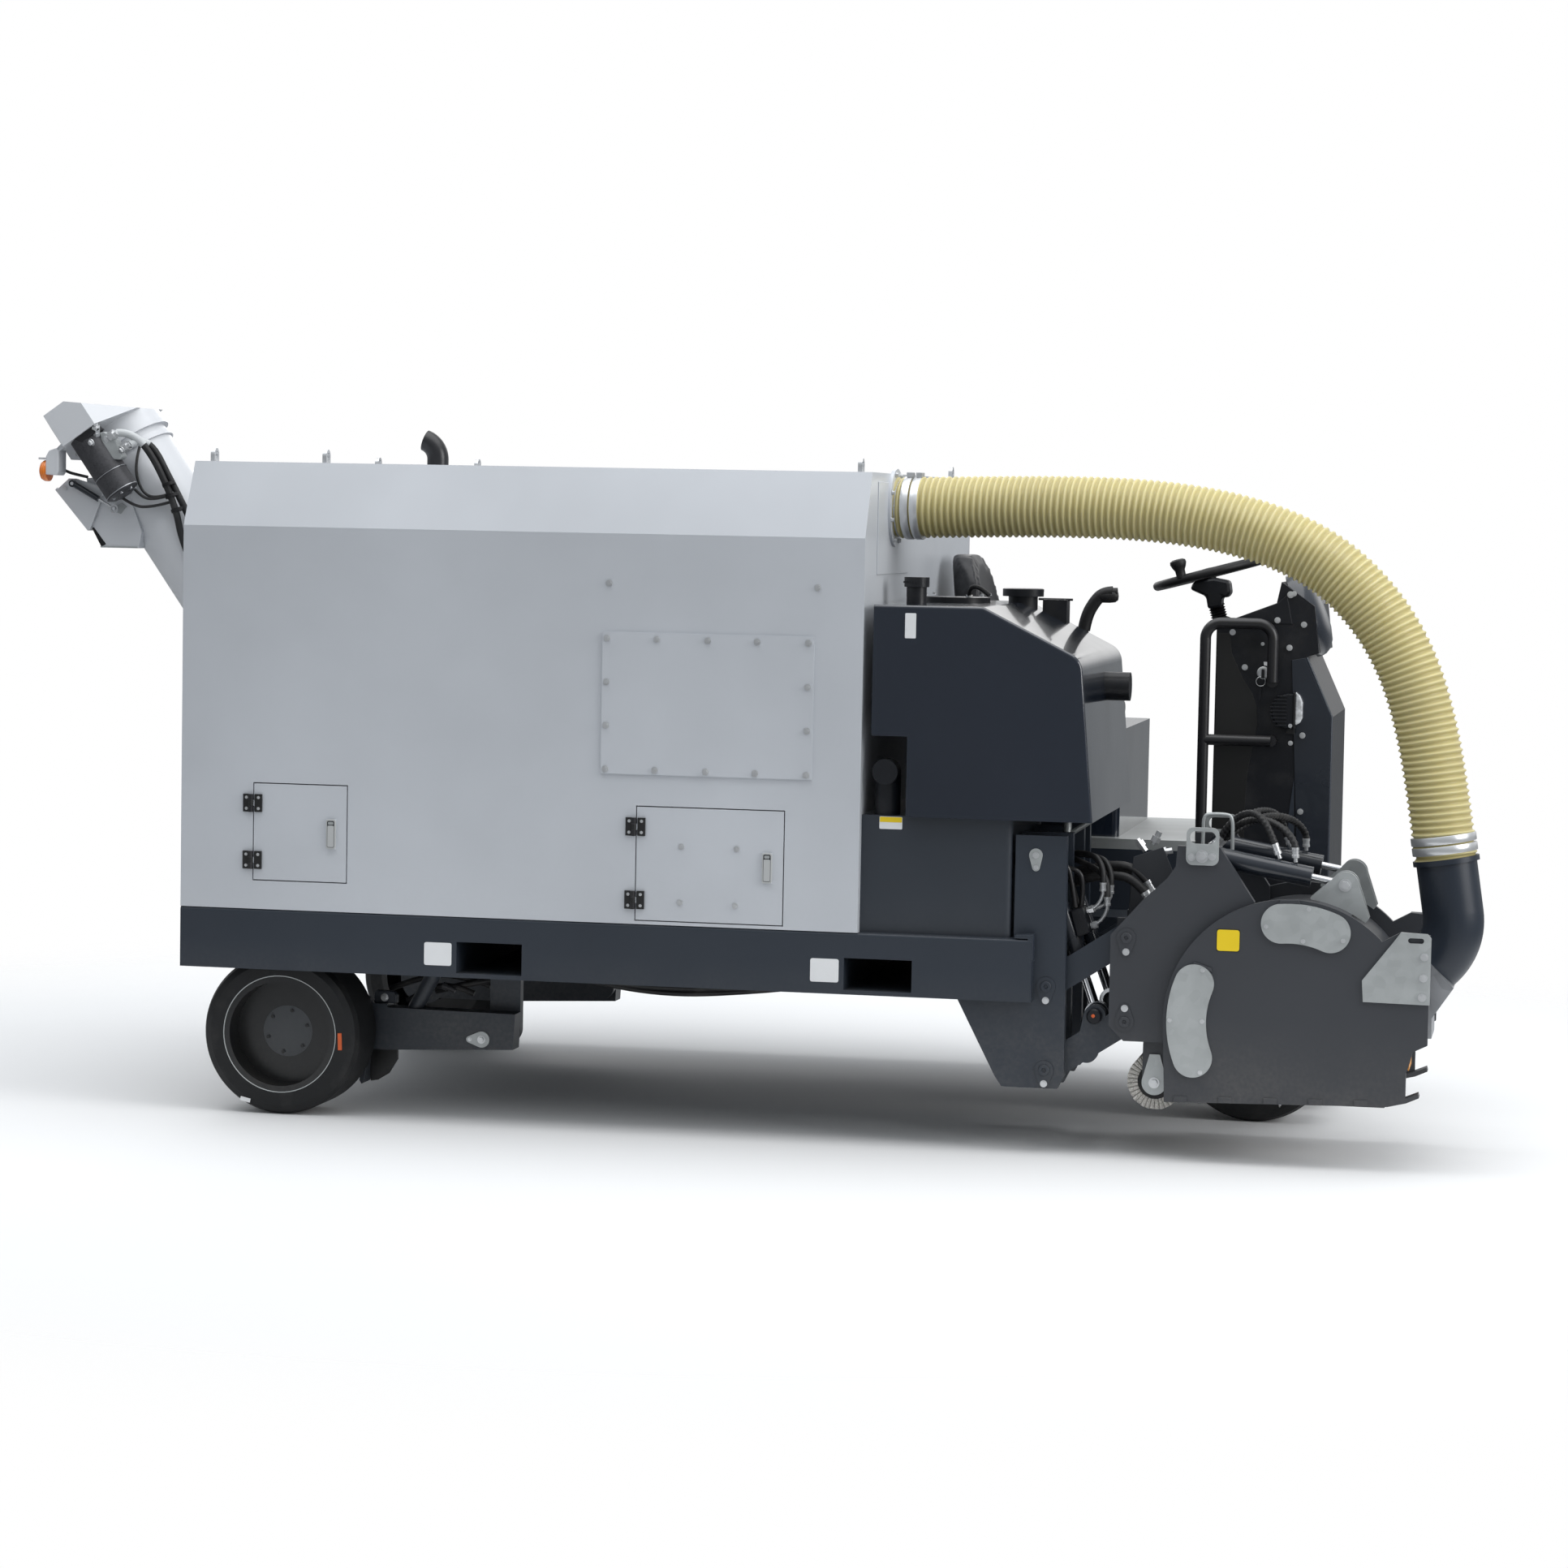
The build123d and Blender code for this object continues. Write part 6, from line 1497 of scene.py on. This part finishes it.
# %% Hub caps, marks, arm bracket and keeper
HUB = spot(0.276, 0.2285)
for label, way in (("near", -1), ("far", 1)):
    body, axis = f"rear_wheel_{label}", (0, way, 0)
    face, lip = (HUB + Vector((0, -HUB[1] + way * out, 0)) for out in (0.7685, 0.85))
    turned(f"hub_cap_{label}", [(face, axis, [(0, 0.0), (0, 0.079), (0.003, 0.079), (0.006, 0.076),
                                              (0.0075, 0.066), (0.0075, 0.0)])], hub_grey, sides=56,
           body=body)
    ring = [(face + Vector((math.cos(a) * 0.06, way * 0.006, math.sin(a) * 0.06)), axis, 0.01)
            for a in round_the_clock(6, 0.3)]
    bolts(f"hub_bolts_{label}", ring, 14, body, rim_black)
    turned(f"rim_lip_{label}", [(lip - Vector((0, way * 0.008, 0)), axis,
                                 [(0, 0.16), (0, 0.1665), (0.0085, 0.1665), (0.0085, 0.1645), (0.004, 0.16),
                                  (0, 0.16)])], galvanised, sides=64, body=body, slot="rim_dark")

tyre_marks = [
    # name, forwards, height, width, height, lean in degrees, finish
    ("orange", 0.4545, 0.215, 0.0115, 0.048, 2, mark_orange),
    ("label", 0.177, 0.038, 0.03, 0.012, -12, label_white),
]
for label, forward, z, wide, high, lean, coat in tyre_marks:
    cosine, sine = cos_sin(math.radians(lean))
    outline = [spot(forward + x * cosine - y * sine, z + x * sine + y * cosine, 0.06)
               for x, y in rounded(wide, high, 0.1 * min(wide, high))]
    prisms(f"tyre_mark_{label}", [(outline, (0, -0.0012, 0))], coat, body="rear_wheel_near")

ARM = 0.275
side_plate("arm_bracket", [(0.447, 0.318), (0.461, 0.31), (0.465, 0.296), (0.466, 0.106), (0.461, 0.072),
                           (0.452, 0.066), (0.446, 0.078), (0.451, 0.11), (0.45, 0.29)], ARM - 0.004, 0.062,
           frame_slate)
side_plate("arm_gusset", [(0.466, 0.168), (0.546, 0.168), (0.546, 0.136), (0.52, 0.094), (0.488, 0.074),
                          (0.466, 0.07)], ARM + 0.04, 0.012, rim_black, slot="frame_slate")
side_plate("arm_lug", [(0.48, 0.3), (0.48, 0.328), (0.486, 0.336), (0.538, 0.334), (0.547, 0.324),
                       (0.547, 0.3)], ARM + 0.02, 0.025, frame_slate, 0.003)
near_bolts("arm_lug_bolt", [(0.512, 0.316)], 0.016, ARM + 0.02)
prisms("arm_keepers", both_drops(level_run(drop_outline((0.808, 0.2105), 0.0235, (0.772, 0.2095), 0.0095),
                                           ARM), 0.004, 0.0), galvanised, 0.0008)
bolts("arm_keeper_bolts", both([(spot(0.808, 0.2105, ARM - 0.004), "near", 0.0165),
                                (spot(0.7735, 0.2095, ARM - 0.004), "near", 0.008)], 0.0))
tubes("arm_hose", [[(0.56, 0.3, 0.36), (0.63, 0.345, 0.36), (0.7, 0.352, 0.36), (0.76, 0.33, 0.36)],
                   [(0.5, 0.33, 0.39), (0.6, 0.372, 0.39), (0.7, 0.38, 0.39), (0.8, 0.35, 0.39)]], 0.0085,
      hose_rubber)
turned("arm_hose_fitting", [(spot(0.668, 0.351, 0.352), (1, 0, -0.35),
                             capped((0, 0.011), (0.014, 0.011), (0.014, 0.0085), (0.04, 0.0085)))],
       motor_cast, sides=12)

# %% [markdown]
# ## Discharge auger
# The screw at the top of the discharge tube is driven by a small hydraulic motor. A steel
# ring parts its cast body, its end plate is bolted, and hoses run from it down the tube in
# plastic ties. A gas strut holds the flap of the spout, which ends in a rubber strip.

# %% Motor, hoses, ties and rubber strip
AUGER = 0.91
lean_cos, lean_sin = cos_sin(math.radians(55))
AUGER_UP = Vector((-lean_cos, 0, lean_sin))
AUGER_ALONG = Vector((lean_sin, 0, lean_cos))
NECK = spot(-0.521, 1.9, AUGER)
MOTOR = spot(-0.521, 1.9, AUGER - 0.19) + AUGER_ALONG * -0.035


def across_auger(angle):
    """Direction at this angle across the auger's axis."""
    return AUGER_ALONG * math.cos(angle) + Vector((0, math.sin(angle), 0))


turned("auger_motor_rings", [
    (MOTOR + AUGER_UP * -0.094, -AUGER_UP, [(0, 0.05), (0, 0.0545), (0.0018, 0.0545), (0.0018, 0.05)]),
    (MOTOR + AUGER_UP * -0.16, -AUGER_UP, [(-0.004, 0.05), (-0.004, 0.0535), (-0.0015, 0.0535),
                                           (-0.0015, 0.05)]),
], bare_steel, sides=48)
turned("auger_motor_end", [(MOTOR + AUGER_UP * -0.158, -AUGER_UP, [(0, 0.0), (0, 0.05), (0.004, 0.049),
                                                                   (0.009, 0.04), (0.01, 0.024),
                                                                   (0.014, 0.022), (0.014, 0.0)])],
       motor_cast, sides=44)
bolts("auger_motor_end_bolts", [(MOTOR + AUGER_UP * -0.164 + across_auger(a) * 0.038, -AUGER_UP, 0.0095)
                                for a in round_the_clock(7, 0.5)], metal=bare_steel)
for index, (*place, size) in enumerate(((-0.535, 1.897, 0.664, 0.016), (-0.604, 1.863, 0.734, 0.014),
                                        (-0.618, 1.9, 0.74, 0.016), (-0.449, 1.876, 0.69, 0.015))):
    bolts(f"motor_mount_bolt_{index + 1}", [(spot(*place), (-0.45, -0.75, -0.48), size)])
boxes("motor_flange", [(spot(-0.615, 1.862, 0.735), spot(-0.56, 1.905, 0.77))], motor_cast, 0.004)
side_plate("motor_port_block", [(-0.522, 1.926), (-0.505, 1.93), (-0.467, 1.902), (-0.447, 1.856),
                                (-0.455, 1.846), (-0.486, 1.846), (-0.512, 1.888)], 0.69, 0.04, galvanised,
           0.004)
side_plate("motor_bracket", [(-0.6, 1.925), (-0.54, 1.95), (-0.514, 1.936), (-0.545, 1.912), (-0.566, 1.892),
                             (-0.596, 1.905)], 0.668, 0.05, black_steel, 0.003)
# hexagon port fitting with its nut, in sizes of the fitting
PORT = capped((0, 1), (0.9, 1), (0.9, 0.8), (1.2, 0.8), (1.2, 1.05), (2.6, 1.05), (2.6, 0.6), (3.2, 0.6))
ports = [(spot(-0.531, 1.918, 0.69), (0.15, -0.5, 0.8), 0.0125),
         (spot(-0.503, 1.905, 0.7), (0.75, -0.25, 0.45), 0.0145),
         (spot(-0.466, 1.872, 0.705), (0.85, -0.2, 0.45), 0.0145)]
turned("motor_ports", [(place, way, [(a * size, b * size) for a, b in PORT]) for place, way, size in ports],
       bolt_zinc, 6, 20)
motor_hoses = [
    [(-0.47, 1.926, 0.7), (-0.425, 1.93, 0.71), (-0.372, 1.868, 0.725), (-0.333, 1.777, 0.752),
     (-0.302, 1.693, 0.762), (-0.288, 1.61, 0.768), (-0.25, 1.52, 0.775)],
    [(-0.43, 1.892, 0.705), (-0.405, 1.908, 0.725), (-0.368, 1.885, 0.745), (-0.335, 1.808, 0.768),
     (-0.29, 1.722, 0.775), (-0.25, 1.64, 0.78), (-0.215, 1.56, 0.785)],
]
for index, line in enumerate(motor_hoses):
    points = [spot(*point) for point in line]
    tube(f"auger_hose_{index + 1}", points, 0.0105, hose_rubber, 14)
    sleeved = [*points[:2], points[1].lerp(points[2], 0.62)]
    tube(f"auger_hose_sleeve_{index + 1}", sleeved, 0.0122, sleeve_grey, 14)
tubes("auger_cable", [
    [(-0.68, 1.825, 0.752), (-0.648, 1.808, 0.75), (-0.615, 1.8, 0.746), (-0.577, 1.793, 0.74)],
    [(-0.437, 1.768, 0.745), (-0.41, 1.735, 0.75), (-0.37, 1.729, 0.76), (-0.33, 1.742, 0.765)],
    [(-0.482, 1.744, 0.735), (-0.435, 1.708, 0.745), (-0.38, 1.706, 0.76), (-0.325, 1.722, 0.765)],
    [(-0.425, 1.91, 0.79), (-0.44, 1.85, 0.78), (-0.43, 1.785, 0.765), (-0.398, 1.739, 0.756),
     (-0.355, 1.736, 0.763), (-0.325, 1.748, 0.766)],
], 0.0045, hose_rubber)
tie_rows = []
for place, way in ((spot(-0.326, 1.776, 0.758), (0.36, 0, -0.93)), (spot(-0.301, 1.7, 0.768),
                                                                    (0.33, 0, -0.94)),
                   (spot(-0.318, 1.742, 0.762), (0.36, 0, -0.93))):
    way = Vector(way).normalized()
    tie_rows.append((place - way * 0.005, way, [(0, 0.018), (0, 0.0205), (0.01, 0.0205), (0.01, 0.018)]))
turned("auger_hose_ties", tie_rows, grip_black, sides=24)
turned("auger_tube_clamp", [(NECK - AUGER_UP * 0.044, AUGER_UP, [(-0.009, 0.128), (-0.009, 0.1345),
                                                                 (0.009, 0.1345), (0.009, 0.128)])],
       auger_white, sides=72)
bolts("auger_flange_bolts", [(NECK + across_auger(a) * 0.133 - AUGER_UP * 0.0002, -AUGER_UP, 0.01)
                             for a in round_the_clock(12, 0.5)])
side_plate("strut_foot_plate", [(-0.505, 1.707), (-0.486, 1.718), (-0.47, 1.706), (-0.489, 1.684),
                                (-0.506, 1.69)], AUGER - 0.1235, 0.0035, galvanised, 0.0005)
near_bolts("flap_edge_bolt", [(-0.663, 1.758)], 0.014, AUGER - 0.128, body="spout_flap")
side_plate("spout_rubber", [(-0.582, 1.64), (-0.575, 1.642), (-0.536, 1.592), (-0.549, 1.586),
                            (-0.5525, 1.586)], AUGER - 0.1215, 0.243, grip_black, 0.001)
side_plate("spout_lip", [(-0.553, 1.5815), (-0.553, 1.5865), (-0.436, 1.5865), (-0.436, 1.5815)],
           AUGER - 0.1235, 0.247, galvanised, 0.001)

# %% [markdown]
# ## Duct plate, beacon and chute strip
# The suction duct meets the front wall on a plate. The beacon beside the spout gets its
# amber lens and a bracket, and a worn orange strip lines the mouth of the chute.

# %% Duct plate, beacon lens and bracket, chute strip
boxes("duct_plate", [(Vector((BODY_FRONT, -0.73, 1.56)), Vector((BODY_FRONT + 0.0025, -0.235, 1.815)))],
      body_white, 0.001)
beacon_low, beacon_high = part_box("beacon")
beacon_face = Vector((beacon_high[0], (beacon_low[1] + beacon_high[1]) / 2,
                      (beacon_low[2] + beacon_high[2]) / 2))
beacon_lens = turned("beacon_lens", [(beacon_face, (-1, 0, 0), [(0, 0.0), (0, 0.0315), (0.004, 0.0325),
                                                                (0.014, 0.0315), (0.022, 0.027),
                                                                (0.0265, 0.018), (0.028, 0.0)])], amber_lens,
                     sides=40)
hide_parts("beacon")
side_plate("beacon_bracket", [(-0.686, 1.852), (-0.676, 1.87), (-0.652, 1.878), (-0.645, 1.868),
                              (-0.645, 1.806), (-0.652, 1.796), (-0.686, 1.798)], 0.676, 0.064, auger_white,
           0.003)
side_plate("chute_wear_strip", [(3.421, 0.252), (3.421, 0.296), (3.426, 0.298), (3.426, 0.25)], 0.215, 0.15,
           wear_orange, 0.0005, body="hose")

# %% [markdown]
# ## Sides that the photograph hides
# The far wall gets what such a body needs there: a bolted cover like the near one, and
# louvres that let the engine breathe. The rear wall gets a bolted service plate and two
# lamps. The louvres repeat, so one slat is placed on a column of points.

# %% Louvres, far cover, rear plate and rear lamps
slat_tree, given, out = geometry_group("slats_on_points", Length=0.5, Width=0.03, Lean=0.6, Sheet=None)
tree = slat_tree
blade_size = add(tree, "ShaderNodeCombineXYZ", given["Length"], 0.0022, given["Width"]).outputs["Vector"]
leaning = add(tree, "ShaderNodeCombineXYZ", given["Lean"]).outputs["Vector"]
blade = add(tree, "GeometryNodeMeshCube", Size=blade_size).outputs["Mesh"]
on_points(tree, given, out, given["Sheet"], Instance=blade, Rotation=leaning)


def wall_boxes(name, rows, coat, bevel=0.001):
    """Sheets on the far wall from rows of forwards, height, their other ends and thickness."""
    boxes(name, [(Vector((BODY_REAR + x, FAR_SIDE, z)), Vector((BODY_REAR + end, FAR_SIDE + thick, top)))
                 for x, z, end, top, thick in rows], coat, bevel)


VENT_LEFT, VENT_RIGHT, VENT_LOW, VENT_HIGH = 0.33, 0.93, 0.98, 1.39
SLATS, EDGE, SHADOW = 13, 0.016, 0.01
slat_rows = [(BODY_REAR + (VENT_LEFT + VENT_RIGHT) / 2, FAR_SIDE + 0.0085,
              VENT_LOW + 0.03 + (VENT_HIGH - VENT_LOW - 0.06) * k / (SLATS - 1)) for k in range(SLATS)]
made_real(point_cloud("louvre", slat_rows), "far_louvres", slat_tree, "chassis", "sheet_white",
          Length=VENT_RIGHT - VENT_LEFT - 0.03, Width=0.028, Lean=0.62, Sheet=body_white)
wall_boxes("louvre_shadow", [(VENT_LEFT + SHADOW, VENT_LOW + SHADOW, VENT_RIGHT - SHADOW, VENT_HIGH - SHADOW,
                              0.0012)], console_black, 0.0)
wall_boxes("louvre_frame", [(VENT_LEFT, VENT_LOW, VENT_RIGHT, VENT_LOW + EDGE, 0.014),
                            (VENT_LEFT, VENT_HIGH - EDGE, VENT_RIGHT, VENT_HIGH, 0.014),
                            (VENT_LEFT, VENT_LOW + EDGE, VENT_LEFT + EDGE, VENT_HIGH - EDGE, 0.014),
                            (VENT_RIGHT - EDGE, VENT_LOW + EDGE, VENT_RIGHT, VENT_HIGH - EDGE, 0.014)],
           body_white, 0.0015)
wall_boxes("far_cover", [(1.21, 0.996, 1.809, 1.391, 0.003)], body_white)
bolts("far_cover_bolts", [(Vector((BODY_REAR + x, FAR_SIDE + 0.003, z)), "far", 0.013)
                          for x, z in panel_rows])
REAR_FACE = BODY_REAR - 0.003
boxes("rear_plate", [(Vector((REAR_FACE, 0.25, 0.76)), Vector((BODY_REAR, 0.76, 1.33)))], body_white, 0.001)
rear_rows = [(y, z) for z in (0.78, 1.31) for y in (0.27, 0.428, 0.582, 0.74)]
rear_rows += [(y, z) for z in (0.957, 1.133) for y in (0.27, 0.74)]
bolts("rear_plate_bolts", [(Vector((REAR_FACE, y, z)), "rear", 0.012) for y, z in rear_rows])
for label, coat, profile in (("rims", console_black, capped((0, 0.05), (0.01, 0.049), (0.013, 0.045))),
                             ("lenses", amber_lens, [(0.006, 0.0), (0.006, 0.042), (0.016, 0.041),
                                                     (0.022, 0.034), (0.025, 0.018), (0.0255, 0.0)])):
    turned(f"rear_lamp_{label}", [(Vector((BODY_REAR, y, 0.69)), (-1, 0, 0), profile) for y in (-0.8, 0.8)],
           coat, sides=40)
